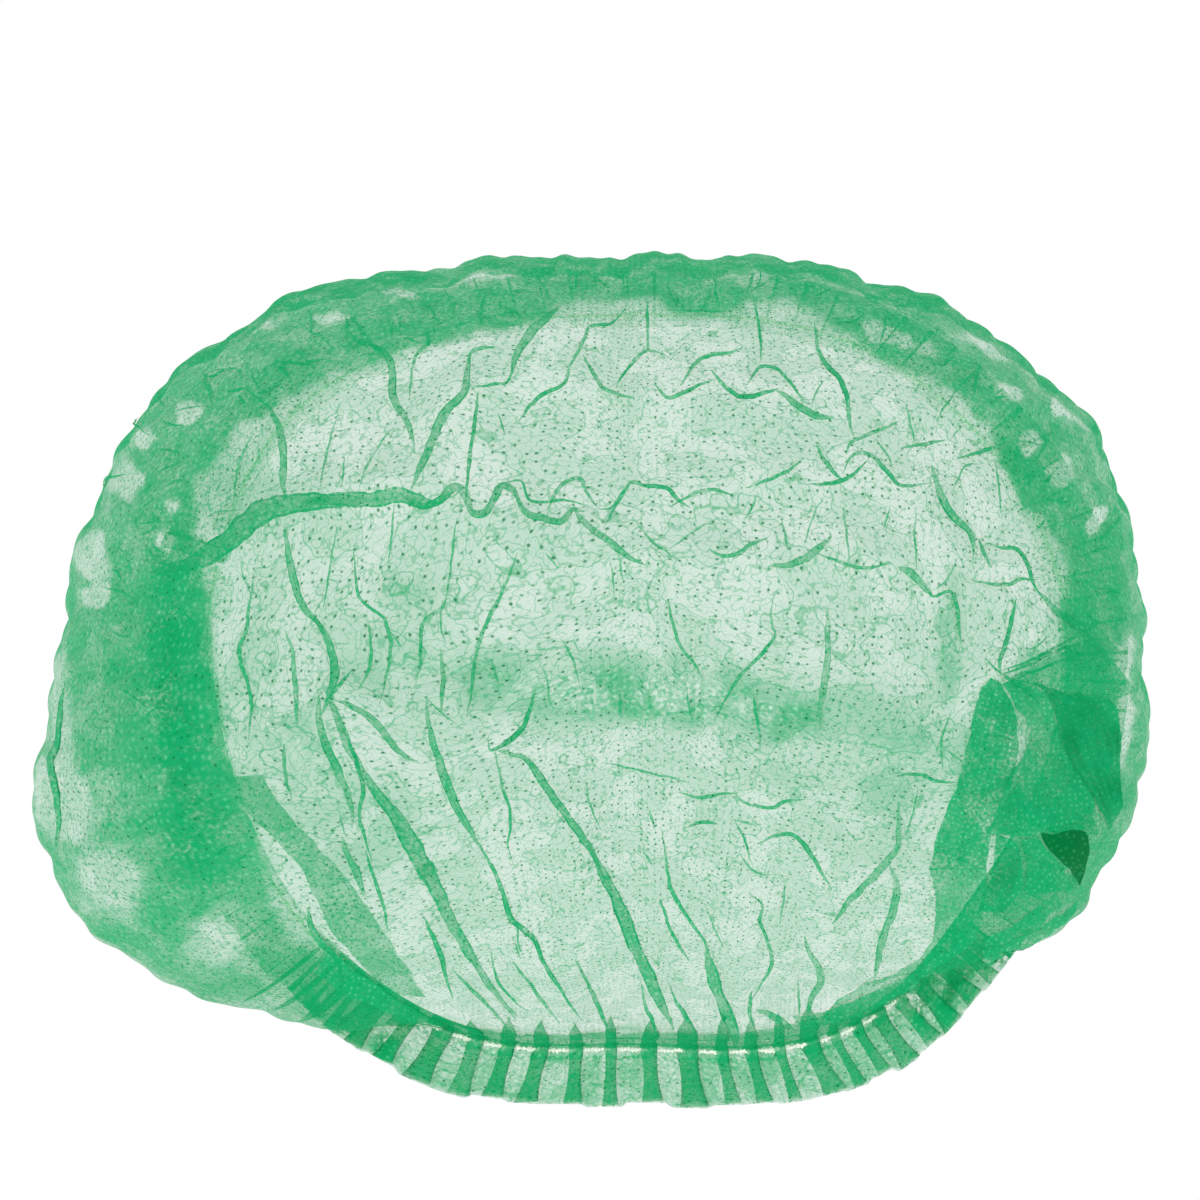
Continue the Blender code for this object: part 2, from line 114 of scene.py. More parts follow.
# Creases pressed over on themselves, in the photograph's pixels: the breadth at the widest, the layers of
# cloth that the crease adds, its run as numbers across and down in turn, and where it tapers ("both" ends,
# the "end" only, or growing "late" or "early")
Crease = namedtuple("Crease", "breadth layers points taper", defaults=("both",))
CREASES = (
    # At the left end of the outline
    (9, 2.4, (64, 688, 60, 720, 57, 745, 51, 762, 56, 790, 59, 820, 57, 846)),
    # The main folded strip and its zigzag
    (25, 1.7, (150, 574, 195, 563, 231, 539, 262, 513, 300, 503, 342, 501, 372, 500)),
    (17, 1.5, (300, 503, 344, 499, 372, 500, 400, 495, 428, 504, 450, 494)),
    (10, 1.7, (402, 495, 422, 506, 440, 501, 452, 489, 462, 492, 474, 513)),
    (9, 1.6, (464, 502, 474, 514, 488, 511, 500, 489, 513, 492, 523, 512)),
    (8, 1.6, (514, 492, 523, 512, 540, 519, 560, 523, 572, 512, 584, 514)),
    (4, 1.4, (500, 487, 521, 483, 528, 502, 547, 504, 566, 502, 590, 508)),
    (6, 1.5, (547, 513, 556, 495, 565, 484, 580, 481, 586, 493, 597, 509)),
    (8, 1.7, (573, 506, 582, 521, 599, 534, 614, 545, 627, 556, 646, 566)),
    (4, 1.3, (597, 510, 612, 508, 623, 493, 632, 482, 646, 486)),
    (6, 1.5, (630, 484, 646, 486, 667, 489, 678, 500, 690, 508)),
    (5, 1.5, (668, 508, 684, 500, 699, 492, 719, 491, 733, 495)),
    (5, 1.4, (745, 488, 758, 484, 775, 477, 791, 470, 804, 459)),
    (6, 1.5, (808, 485, 832, 484, 846, 480, 858, 471, 867, 462)),
    (6, 1.5, (842, 474, 850, 459, 860, 454, 874, 460, 888, 476, 902, 488, 928, 485)),
    (9, 1.8, (930, 468, 934, 480, 941, 500, 950, 516, 962, 527, 970, 538, 972, 558)),
    # Folds above the strip
    (9, 1.7, (268, 405, 279, 428, 283, 448, 284, 466, 283, 484, 287, 500)),
    (8, 1.6, (360, 339, 386, 354, 392, 372, 393, 396, 402, 413, 411, 431, 415, 455)),
    (6, 1.5, (428, 334, 429, 344, 419, 352, 414, 364, 411, 382, 410, 400), "end"),
    (10, 1.8, (472, 352, 468, 372, 465, 392, 451, 407, 438, 427, 430, 448, 410, 490)),
    (5, 1.4, (497, 349, 481, 349, 472, 354, 469, 366)),
    (10, 1.7, (560, 308, 538, 328, 523, 346, 515, 362, 512, 376)),
    (4, 1.3, (514, 364, 507, 383, 491, 386, 473, 389)),
    (5, 1.4, (628, 306, 612, 325, 590, 329, 582, 344, 573, 361, 565, 382)),
    (6, 1.5, (570, 372, 564, 384, 543, 395, 530, 406, 519, 422)),
    (6, 1.4, (477, 392, 476, 410, 474, 430, 471, 450, 468, 472, 466, 505)),
    (6, 1.5, (582, 356, 593, 374, 602, 387, 615, 394, 634, 399)),
    (4, 1.3, (616, 388, 630, 367, 647, 352, 669, 359)),
    (4, 1.3, (647, 302, 648, 325, 648, 349)),
    (6, 1.5, (655, 386, 667, 398, 683, 394, 712, 382)),
    (6, 1.4, (680, 388, 690, 372, 703, 359, 724, 356, 742, 350)),
    (7, 1.7, (711, 373, 722, 386, 736, 397, 750, 399, 766, 395, 778, 391)),
    (8, 1.7, (776, 391, 789, 399, 804, 410, 818, 416, 834, 418)),
    (5, 1.4, (746, 386, 760, 368, 777, 370, 791, 384, 803, 400)),
    (4, 1.4, (753, 298, 758, 322, 760, 345, 761, 362)),
    (7, 1.6, (815, 324, 817, 346, 826, 366, 839, 379, 846, 398, 849, 420, 853, 438)),
    (6, 1.6, (845, 456, 850, 445, 862, 438, 880, 431, 900, 421)),
    (5, 1.5, (900, 450, 921, 446, 945, 441)),
    (4, 1.3, (905, 406, 910, 427, 914, 445)),
    (5, 1.5, (955, 462, 974, 454, 991, 450, 1004, 444)),
    (7, 1.7, (816, 446, 827, 464, 842, 481)),
    (8, 1.7, (768, 566, 788, 565, 807, 558, 821, 546, 832, 537)),
    (5, 1.4, (818, 554, 848, 565, 868, 568, 889, 563)),
    (9, 1.7, (897, 566, 909, 572, 921, 584, 932, 597)),
    (6, 1.5, (708, 550, 722, 556, 737, 555, 750, 546, 768, 541)),
    (4, 1.3, (636, 524, 653, 544, 666, 552, 672, 562)),
    # Down the left and middle
    (8, 1.6, (285, 524, 289, 552, 295, 582, 303, 606, 316, 621, 328, 640)),
    (9, 1.7, (312, 616, 326, 635, 332, 655, 335, 676, 329, 698, 323, 716)),
    (10, 1.6, (318, 690, 320, 718, 326, 745, 337, 768, 346, 790, 352, 812, 352, 828)),
    (22, 1.8, (331, 702, 345, 741, 362, 771, 380, 797, 396, 818, 412, 846, 429, 876), "late"),
    (21, 1.7, (423, 864, 436, 890, 449, 918, 462, 940, 476, 964, 492, 988, 516, 1016), "early"),
    (6, 1.7, (336, 707, 347, 734, 358, 768, 363, 790, 360, 812, 365, 836, 372, 860)),
    (5, 1.6, (366, 850, 374, 876, 382, 900, 387, 928)),
    (8, 1.5, (332, 699, 351, 707, 369, 718, 384, 734, 397, 751, 420, 765)),
    (5, 1.5, (325, 703, 340, 686, 352, 671)),
    (5, 1.3, (369, 624, 372, 650, 368, 673, 357, 693)),
    (5, 1.4, (354, 545, 357, 590, 367, 605, 381, 615, 389, 632, 390, 658, 379, 706)),
    (5, 1.3, (436, 610, 423, 623, 421, 647, 420, 667, 414, 680)),
    (6, 1.1, (441, 648, 443, 681, 441, 712)),
    (6, 1.4, (518, 553, 510, 576, 500, 597, 489, 620, 479, 644, 473, 682, 466, 718)),
    (9, 1.8, (427, 699, 429, 723, 436, 749, 445, 777, 456, 804, 471, 830, 484, 853)),
    (7, 1.8, (476, 838, 489, 860, 501, 888, 512, 918, 532, 937, 545, 962, 580, 1018)),
    (6, 1.5, (254, 584, 250, 607, 247, 633, 240, 650, 245, 674, 252, 700, 249, 742)),
    (7, 1.3, (286, 631, 293, 654, 296, 682, 298, 707, 297, 727)),
    (5, 1.1, (284, 744, 286, 777, 292, 800)),
    (7, 1.8, (488, 740, 490, 751, 505, 743, 522, 729, 536, 690)),
    (9, 1.8, (494, 750, 512, 755, 530, 764, 555, 801, 587, 845, 605, 880)),
    (14, 1.9, (588, 846, 604, 876, 618, 906, 631, 936, 645, 966, 660, 1000, 674, 1028)),
    (4, 1.4, (495, 752, 500, 780, 509, 806, 510, 828, 507, 843, 512, 864)),
    (8, 1.6, (310, 906, 311, 922, 320, 939, 334, 953, 341, 965, 342, 980)),
    (8, 1.5, (342, 836, 348, 856, 356, 872, 366, 897)),
    (7, 1.6, (421, 913, 431, 933, 441, 957, 448, 981, 454, 996)),
    (4, 1.4, (491, 951, 496, 976, 509, 995, 527, 1011)),
    (5, 1.4, (513, 961, 530, 983, 543, 1001, 560, 1022)),
    (6, 1.5, (575, 958, 586, 981, 598, 1004, 610, 1034)),
    (5, 1.4, (452, 968, 472, 988, 494, 1010, 510, 1030)),
    # Down the middle and right
    (5, 1.4, (668, 600, 672, 622, 681, 648, 693, 663, 702, 680)),
    (5, 1.4, (772, 600, 771, 624, 774, 637, 754, 663, 737, 681, 715, 719)),
    (5, 1.4, (753, 694, 756, 717, 761, 747)),
    (8, 1.0, (827, 610, 827, 640, 826, 673, 821, 700, 819, 731)),
    (5, 1.4, (678, 792, 698, 798, 722, 794, 738, 793)),
    (5, 1.4, (736, 794, 747, 804, 771, 808, 784, 801, 806, 799)),
    (5, 1.3, (687, 827, 703, 822, 718, 824)),
    (4, 1.3, (734, 820, 745, 841, 750, 862)),
    (6, 1.5, (757, 844, 772, 837, 790, 834, 803, 843, 816, 863, 831, 889)),
    (5, 1.5, (662, 830, 667, 862, 670, 885, 685, 911, 702, 936, 712, 962)),
    (15, 1.8, (706, 948, 714, 978, 724, 1003, 733, 1024, 736, 1046)),
    (6, 1.6, (659, 896, 666, 916, 676, 938, 690, 959)),
    (5, 1.4, (748, 893, 762, 905, 760, 922, 767, 939, 772, 960, 763, 981, 751, 1000)),
    (6, 1.5, (752, 990, 749, 1008, 754, 1026)),
    (8, 1.6, (757, 1009, 774, 1015, 793, 1029)),
    (8, 1.5, (805, 934, 808, 949, 816, 961, 821, 980, 811, 999, 807, 1020)),
    (4, 1.3, (796, 978, 798, 1000, 801, 1020)),
    (5, 1.4, (641, 979, 646, 1001, 653, 1020, 658, 1037)),
    (5, 1.4, (668, 980, 677, 999, 689, 1018, 699, 1037)),
    (8, 1.6, (898, 800, 897, 843, 886, 862, 871, 877, 858, 890, 832, 922)),
    (9, 1.5, (889, 864, 897, 886, 893, 910, 883, 936, 878, 961, 874, 982)),
    # At the right end
    (6, 1.6, (978, 540, 983, 552, 990, 566)),
    (6, 1.6, (985, 544, 1001, 549, 1016, 550, 1027, 565, 1033, 584, 1041, 600)),
    (8, 1.8, (1037, 592, 1054, 611, 1072, 622, 1092, 640)),
    (6, 1.5, (972, 582, 990, 585, 1005, 586, 1020, 580, 1036, 580)),
    (5, 1.5, (924, 586, 932, 597, 948, 592, 955, 602, 958, 622, 960, 645)),
    (7, 1.7, (1014, 600, 1010, 622, 1004, 645, 998, 664, 999, 678)),
    (5, 1.8, (984, 660, 1001, 676, 1023, 690, 1040, 706)),
    (5, 1.7, (1001, 675, 1030, 664, 1060, 650, 1098, 638)),
    (4, 1.7, (1003, 671, 1036, 658, 1070, 640, 1100, 624)),
    (4, 1.5, (1012, 680, 1040, 669, 1072, 658, 1110, 652)),
    (5, 1.5, (896, 776, 921, 774, 935, 781, 958, 783)),
)

# Cross-sections of creases broader than a number of pixels: the factors of their breadth and of their
# layers, and shares across with the weights of the layers there
Section = namedtuple("Section", "over slim deep shares weights")
CREASE_SECTIONS = (
    Section(7.5, 0.92, 1.40, (-1.0, -0.80, -0.62, 0.0, 0.62, 0.80, 1.0),
            (1.45, 1.45, 0.78, 0.86, 0.78, 1.45, 1.45)),
    Section(4.5, 0.74, 1.75, (-1.0, -0.3, 0.3, 1.0), (1.30, 0.95, 0.95, 1.30)),
    Section(0.0, 0.74, 1.75, (-1.0, 1.0), (1.15, 1.15)),
)

# Faint narrow creases, in the same pixels
FINE_BREADTH = 3.0
FINE_LAYERS = 1.0
FINE_CREASES = (
    (339, 414, 331, 438, 325, 463, 320, 489), (346, 459, 342, 487),
    (256, 435, 243, 458, 237, 482, 234, 512), (208, 520, 222, 514, 243, 512),
    (337, 527, 331, 562, 326, 594, 323, 611), (241, 567, 245, 580, 251, 593),
    (393, 428, 380, 446, 367, 467, 358, 492), (498, 414, 505, 436), (639, 360, 625, 374, 616, 386),
    (457, 518, 452, 560, 447, 595, 441, 616), (395, 500, 393, 530, 388, 568), (545, 553, 558, 568),
    (610, 559, 615, 594), (618, 551, 623, 581), (811, 407, 818, 390, 825, 382),
    (875, 440, 887, 457, 894, 472), (630, 486, 618, 505, 604, 529), (756, 495, 751, 510, 744, 522),
    (825, 497, 813, 517, 804, 547), (669, 551, 692, 535, 710, 525, 720, 535),
    (843, 508, 846, 533, 850, 566), (781, 518, 788, 550), (916, 508, 914, 540, 917, 570),
    (956, 392, 944, 408, 935, 422), (994, 464, 998, 490, 1000, 516),
    (952, 491, 959, 477, 964, 467, 979, 466), (889, 510, 883, 531), (956, 559, 948, 577, 935, 589),
    (389, 630, 402, 648), (447, 598, 440, 614, 445, 643), (492, 659, 499, 685),
    (427, 699, 438, 710, 458, 726), (340, 812, 345, 836), (545, 672, 550, 705), (620, 692, 621, 720),
    (686, 687, 691, 720), (601, 762, 626, 767, 655, 774, 689, 782), (732, 819, 755, 826),
    (650, 810, 654, 828), (645, 852, 653, 865), (739, 854, 749, 867, 766, 875), (785, 883, 779, 923),
    (853, 890, 831, 923), (704, 906, 716, 931, 724, 946), (516, 922, 520, 952), (515, 941, 521, 958),
    (951, 713, 941, 741, 943, 772), (917, 787, 913, 811, 904, 837), (946, 750, 963, 763),
    (500, 786, 505, 800), (585, 780, 590, 810, 600, 830), (560, 640, 572, 660, 580, 690),
)

# Broad flat folds, in the same pixels: the layers that each adds, and its two edges
FLAPS = (
    # The band down the left
    (1.5, (226, 778, 247, 811, 297, 864, 314, 893, 333, 933, 353, 954, 385, 992),
     (262, 775, 282, 807, 314, 843, 335, 864, 362, 899, 383, 931, 404, 962, 426, 996)),
    # The ring's broad fold down the right end
    (2.9, (990, 678, 976, 700, 970, 732, 957, 785, 938, 830, 930, 870),
     (1000, 682, 1010, 700, 1017, 728, 1014, 775, 995, 818, 986, 868)),
    (2.0, (930, 868, 935, 900, 929, 945, 898, 970, 856, 987, 820, 1016),
     (986, 868, 984, 905, 972, 940, 930, 972, 890, 998, 850, 1026)),
    # The fan of folds: the upper lobe, the inner field, the dark wedge, the dark triangle and the strip
    (1.4, (1006, 680, 1030, 668, 1062, 652, 1094, 640),
     (1020, 694, 1058, 700, 1104, 702, 1136, 690)),
    (2.3, (1001, 684, 1012, 702, 1026, 726, 1024, 750, 1008, 776, 1000, 800, 986, 834),
     (1010, 680, 1030, 688, 1050, 699, 1060, 745, 1094, 804, 1072, 822, 1040, 836)),
    (1.8, (1016, 784, 1006, 800, 990, 826), (1026, 798, 1022, 824, 1010, 838)),
    (4.2, (1030, 684, 1049, 700, 1064, 754, 1096, 806, 1109, 829),
     (1034, 682, 1062, 692, 1112, 704, 1118, 764, 1121, 806)),
    # The dark triangle: layers far past full cover, which the web turns into painted shade for the fan's
    # deepest fold
    (9.0, (1038, 833, 1050, 848, 1064, 862, 1078, 886),
     (1039, 832, 1064, 833, 1086, 835, 1082, 872)),
    (1.6, (1040, 832, 1066, 820, 1090, 806), (1042, 836, 1070, 836, 1098, 834)),
    (3.4, (996, 832, 992, 864, 986, 886, 978, 912),
     (1016, 842, 1022, 866, 1020, 890, 1004, 912)),
    (2.2, (1018, 840, 1026, 866, 1024, 894),
     (1038, 838, 1058, 862, 1074, 890)),
    (2.6, (984, 938, 1008, 926, 1032, 910, 1054, 892),
     (986, 956, 1010, 946, 1034, 930, 1060, 904)),
    # The dark end of the pleated edge folded under the lobe
    (2.4, (1076, 900, 1045, 922, 1010, 940, 980, 950),
     (1074, 912, 1048, 934, 1018, 952, 988, 970)),
    # Gathers just behind the elastic along the front
    (1.0, (396, 1008, 440, 1020, 500, 1030, 560, 1032, 640, 1030, 720, 1032, 790, 1022, 850, 1006),
     (390, 1016, 436, 1028, 500, 1043, 560, 1045, 640, 1046, 720, 1050, 790, 1042, 850, 1024)),
    # Dark wedges where the ends of the front band are drawn together
    (2.2, (316, 972, 345, 992, 378, 1006, 410, 1020), (330, 948, 360, 972, 392, 994, 422, 1012)),
    (2.0, (790, 1012, 820, 1010, 866, 992, 912, 970),
     (800, 1026, 834, 1020, 876, 1003, 920, 980)),
)

# Patches of more or fewer layers of cloth, soft at their edges, for each piece whose layers they change:
# the layers, the middle and reach in the same pixels, the turn in degrees, and how sharply each ends
HAZES = {
    "top": (
        (0.60, (600, 688), (250, 34), -2, 6), (0.75, (640, 696), (110, 22), -3, 6),
        (0.85, (788, 722), (40, 19), 4, 9), (0.60, (300, 752), (24, 34), 15, 5),
        (0.45, (400, 590), (26, 18), 0, 4), (0.40, (430, 640), (60, 26), -30, 4),
        (0.10, (300, 650), (90, 120), 0, 3), (0.20, (250, 690), (40, 110), 0, 4),
        (0.45, (905, 770), (60, 70), 0, 3), (0.40, (860, 760), (110, 30), 0, 4),
        (0.70, (950, 640), (12, 60), 0, 6), (0.50, (1050, 570), (12, 24), 0, 5),
        (0.35, (240, 500), (50, 60), 20, 4), (0.35, (360, 840), (70, 60), 30, 3),
    ),
    "side": (
        (3.6, (178, 705), (22, 125), 3, 3), (1.1, (200, 830), (34, 70), -25, 4),
        (0.7, (150, 560), (22, 50), -8, 4), (0.9, (110, 690), (60, 60), 0, 3),
        (1.0, (1010, 470), (30, 60), -40, 4), (1.0, (1090, 590), (30, 80), -10, 4),
        (0.7, (1090, 770), (34, 84), 8, 4), (1.4, (1056, 860), (40, 36), 0, 4),
        (-0.6, (940, 975), (90, 30), 20, 4), (0.8, (880, 350), (70, 18), 28, 4),
        (0.2, (250, 420), (60, 24), -35, 4), (0.2, (300, 990), (60, 26), -25, 4),
        (-2.2, (600, 268), (8, 6), 0, 11), (-2.0, (562, 270), (9, 5), 0, 11),
        (-2.2, (330, 318), (16, 6), -14, 11), (-2.2, (402, 296), (18, 5), -8, 11),
        (-2.4, (1060, 470), (9, 16), -30, 11), (-2.2, (1096, 520), (7, 18), -12, 11),
        (-2.2, (1010, 392), (12, 8), -40, 11), (-2.7, (187, 412), (12, 13), 0, 13),
        (-2.7, (145, 440), (10, 10), 0, 13), (-2.6, (134, 478), (11, 9), 0, 13),
        (-2.6, (174, 507), (13, 8), 0, 13), (-2.8, (94, 597), (15, 11), 30, 13),
        (-2.5, (163, 543), (8, 14), 0, 13), (-1.6, (90, 556), (18, 26), 20, 6),
        (-1.5, (118, 470), (16, 34), 25, 6), (-1.2, (56, 700), (18, 70), 8, 5),
        (-1.6, (60, 800), (26, 40), 20, 5), (-1.2, (110, 880), (30, 30), 40, 4),
        (-1.1, (215, 935), (34, 24), 20, 4), (-2.6, (1031, 445), (10, 12), 0, 13),
        (-2.6, (885, 335), (24, 10), -15, 13), (-2.5, (925, 350), (14, 7), -20, 13),
        (-2.6, (1040, 548), (14, 36), 18, 13), (-1.5, (1124, 700), (8, 64), 0, 6),
        (-2.4, (1072, 410), (22, 12), -40, 13), (-1.5, (990, 345), (24, 9), -35, 6),
        (-1.5, (735, 276), (28, 10), -12, 7), (-1.3, (470, 275), (40, 8), -6, 6),
        (-1.3, (250, 318), (26, 10), -20, 6),
    ),
    "edge": (
        (2.6, (955, 985), (11, 30), -25, 5), (1.8, (922, 1008), (7, 20), -25, 6),
        (2.4, (995, 956), (26, 13), -32, 5), (2.4, (306, 1004), (16, 12), -30, 6),
        (2.2, (345, 1026), (13, 10), -30, 6), (2.0, (384, 1046), (11, 10), -30, 6),
    ),
}

# Inner edge of the ring of gathered cloth that shows through the crown, in the same pixels
RING_EDGE = (
    280, 402, 360, 362, 450, 340, 540, 318, 580, 299, 655, 299, 680, 314, 728, 318, 746, 301, 795, 299,
    816, 314, 850, 336, 900, 368, 960, 392, 1000, 448, 1016, 498, 1028, 524, 1054, 538, 1071, 562,
    1064, 598, 1040, 640, 1002, 676, 973, 700, 966, 762, 938, 826, 930, 870, 934, 924, 915, 958, 870, 982,
    820, 1022, 740, 1040, 560, 1040, 430, 1022, 380, 1005, 335, 977, 309, 952, 288, 931, 270, 906,
    267, 880, 262, 860, 252, 826, 240, 800, 232, 775, 222, 712, 206, 603, 192, 530, 196, 478, 236, 432,
)

# Columns of one pleat, as shares of its room, and how far each lies over the layer below
PLEAT_COLUMNS = (0.0, 0.07, 0.14, 0.20, 0.27, 0.34, 0.41, 0.46, 0.50, 0.54, 0.59, 0.70, 0.80, 0.90)
PLEAT_TURN = 0.41
PLEAT_LIFT_FROM = (0.0, 0.14, 0.20, 0.41, 0.59, 1.0)
PLEAT_LIFTS = (0.0, 0.0, 1.2, 2.0, 0.0, 0.0)

# Places of the front pleats, in photograph pixels across at the elastic
FRONT_PLEATS = (
    278, 290, 303, 317, 331, 347, 365, 388, 414, 446, 477, 508, 541, 578, 611, 649, 687, 722, 750, 777,
    807, 832, 853, 872, 893, 912, 930, 947, 962, 975,
)

# Rows of the pleated edge, at distances outside the elastic line, and the rows of the crown's foot
EDGE_REACHES = (-0.0026, -0.0019, -0.0013, -0.0007, 0.0, 0.0007, 0.0012, 0.0017, 0.0024, 0.0036, 0.0052,
                0.0070, 0.0090, 0.0110, 0.0128)
FOOT_LEVELS = (0.0, 0.2, 0.4, 0.6, 0.8)
UNDERSIDE_STEPS = 36

# Irregular values of each kind: the strength, the size of the waves and the step of the seed of each part
CRINKLES = ((1.0, 0.016, 0), (0.5, 0.007, 1))
BACK_MOTTLE = ((0.45, 0.011, 50), (0.35, 0.005, 51))
SIDE_STREAKS = ((1.0, 0.0062, 5), (0.6, 0.0031, 6))
SIDE_MOTTLE = ((0.42, 0.012, 3), (0.34, 0.0052, 4))
RING_SWAY = ((7.0, 34.0, 13), (3.5, 14.0, 14))
HAZE_SWAYS = (((9.0, 26.0, 11), (4.0, 9.0, 15)), ((9.0, 26.0, 12), (4.0, 9.0, 16)))

# The crinkles' waves are shorter from front to back, and the folds fade out over a dome angle in degrees
CRINKLE_STRETCH = np.array([1.0, 2.2, 1.0])
FOLD_FADE = 20.0

# Shares of the layers that are left at the dome's very rim, in its cloth and in the gathers behind it
RIM_CLOTH = 0.65
RIM_GATHERS = 0.35

# Depths of the pleats under the crown and in the hidden edge, as shares of those in the open band
FOOT_PLEATS = 0.14
EDGE_PLEATS = 0.36

# Room of the pleats left of the front's, right of them and along the back, as shares of the mean, and the
# room that the welds leave
LEFT_ROOM, RIGHT_ROOM, BACK_ROOM = 0.55, 0.5, 0.8
WELD_ROOM = 0.6

# How far the pleats differ in breadth, and how far they lean, as shares
PLEAT_SPREAD = 0.35
LEAN_RANGE = (-0.6, 1.0)

# Soft folds of the underside, the hump of the edge over its thread and the reach of it, and the darker
# line beside the thread: where it lies, its reach and the layers that it adds
SOFT_RISE = 0.0011
HUMP_RISE, HUMP_REACH = 0.0026, 0.0012
DARK_LINE_PLACE, DARK_LINE_REACH, DARK_LINE_LAYERS = 0.0014, 0.0005, 0.6

# Flat sizes of the sheets
TOP_FLAT = (0.33, 0.27)
SIDE_FLAT = (0.70, 0.050)

# Small distances: the crown's foot inside the elastic line, the edge's underside above the floor, the
# middle of a crease above its sides, the steps by which creases lie over each other, and the gaps that
# the edge and the threads leave at the welds
SIDE_INSET = 0.0006
EDGE_BASE = 0.0003
CREASE_SWELL = 0.0002
LIFT_STEP = 0.0001
LIFT_LEVELS = 8
EDGE_GAP = 0.0023
THREAD_GAP = 0.0026
THREAD_PLACES = 700

# Steps along a profile in radians and along a charted run in pixels, and the open band's soft ends
ANGLE_STEP = 0.02
PATH_STEP = 4.0
BAND_BLEND = 7.0

# Places round the ring for its short creases, the pixel down past which there are none, and the ranges of
# their length, breadth and layers
RING_PLACES = 240
RING_FRONT = 860.0
RING_LENGTHS, RING_BREADTHS, RING_LAYERS = (16.0, 42.0), (2.4, 5.0), (0.7, 1.7)

# Pixels outside and inside its charted edge over which the ring fades, and the pixels and number of the
# steps by which a place beside the cloth is drawn in onto it
RING_FADE = (-7.0, 9.0)
INWARD_STEP = 3.0
INWARD_STEPS = 10

# A crease's wobble and sway, its least half breadth in pixels, and its layers at the ends, as a share
CREASE_WOBBLE = 0.30
CREASE_SWAY = 1.3
LEAST_HALF = 0.4
END_LAYERS = 0.40

# Run of the underside on its flat map, where the edge starts on it, and how much coarser a flap's is
UNDERSIDE_RUN = 0.052
EDGE_MAP_START = 0.2
FLAP_GRAIN = 1.2

# Layers: the least anywhere, those in the open band's foot, and the share of the hidden gathers that is
# left out inside the ring
LEAST_DENSITY = 0.03
BAND_LAYERS = 1.9
RING_CLEARING = 0.96


class CapForm(bpy.types.PropertyGroup):
    """Sizes that the cap's pieces share."""

    opening_radius: FloatProperty(
        name="Opening radius", default=0.110, subtype="DISTANCE",
        description="Mean distance of the elastic line from the middle of the opening",
    )
    crown_height: FloatProperty(
        name="Crown height", default=0.088, subtype="DISTANCE",
        description="Height of the dome's smooth top above the floor",
    )
    bulge_height: FloatProperty(
        name="Bulge height", default=0.028, subtype="DISTANCE",
        description="Height of the crown's widest line",
    )
    overhang: FloatProperty(
        name="Overhang", default=0.055, subtype="DISTANCE",
        description="Furthest reach of the widest line past the elastic line",
    )
    foot_height: FloatProperty(
        name="Foot height", default=0.007, subtype="DISTANCE",
        description="Height up to which the crown stands upright above the elastic",
    )
    foot_base: FloatProperty(
        name="Foot base", default=0.0015, subtype="DISTANCE",
        description="Height of the crown's lowest edge",
    )
    foot_inset: FloatProperty(
        name="Foot inset", default=0.0008, subtype="DISTANCE",
        description="Distance of the crown's foot inside the elastic line",
    )
    scallop_depth: FloatProperty(
        name="Scallop depth", default=0.0015, subtype="DISTANCE",
        description="Size of the waves along the widest line",
    )
    fold_rise: FloatProperty(
        name="Fold rise", default=0.0060, subtype="DISTANCE",
        description="Height of the main folds over the smooth dome",
    )
    fold_sight: FloatProperty(
        name="Fold sight", default=62.0,
        description="Angle above the floor from which the main folds are charted, in degrees",
    )
    crinkle_rise: FloatProperty(
        name="Crinkle rise", default=0.0009, subtype="DISTANCE",
        description="Height of the small crinkles left by the crimping",
    )
    crease_lift: FloatProperty(
        name="Crease lift", default=0.00015, subtype="DISTANCE",
        description="Least height of a pressed crease over the cloth that it lies on",
    )
    ruffle_width: FloatProperty(
        name="Ruffle width", default=0.0145, subtype="DISTANCE",
        description="Width of the pleated edge outside the elastic line",
    )
    flange_inset: FloatProperty(
        name="Flange inset", default=0.0026, subtype="DISTANCE",
        description="Reach of the pleated edge inside the elastic line",
    )
    pleat_pitch: FloatProperty(
        name="Pleat pitch", default=0.0092, subtype="DISTANCE",
        description="Mean distance between pleats along the elastic",
    )
    pleat_layer: FloatProperty(
        name="Pleat layer", default=0.0005, subtype="DISTANCE",
        description="Distance between the layers of a pleat that lies over on itself",
    )
    pleat_overlap: FloatProperty(
        name="Pleat overlap", default=0.48, subtype="FACTOR",
        description="Share of a pleat's room in which its cloth lies threefold",
    )
    elastic_diameter: FloatProperty(
        name="Elastic diameter", default=0.0010, subtype="DISTANCE",
        description="Diameter of the elastic thread",
    )
    elastic_level: FloatProperty(
        name="Elastic level", default=0.0020, subtype="DISTANCE",
        description="Height of the elastic thread's middle",
    )
    left_weld: FloatProperty(
        name="Left weld", default=163.0,
        description="Azimuth of the left end weld, in degrees",
    )
    right_weld: FloatProperty(
        name="Right weld", default=337.0,
        description="Azimuth of the right end weld, in degrees",
    )
    band_start: FloatProperty(
        name="Band start", default=226.0,
        description="Azimuth at which the open band of pleats starts at the front left, in degrees",
    )
    band_end: FloatProperty(
        name="Band end", default=318.0,
        description="Azimuth at which the open band of pleats ends at the front right, in degrees",
    )
    top_divisions: IntProperty(
        name="Top divisions", default=250,
        description="Divisions of the dome's grid, each way",
    )
    seed: IntProperty(
        name="Seed", default=7,
        description="Seed of everything irregular",
    )


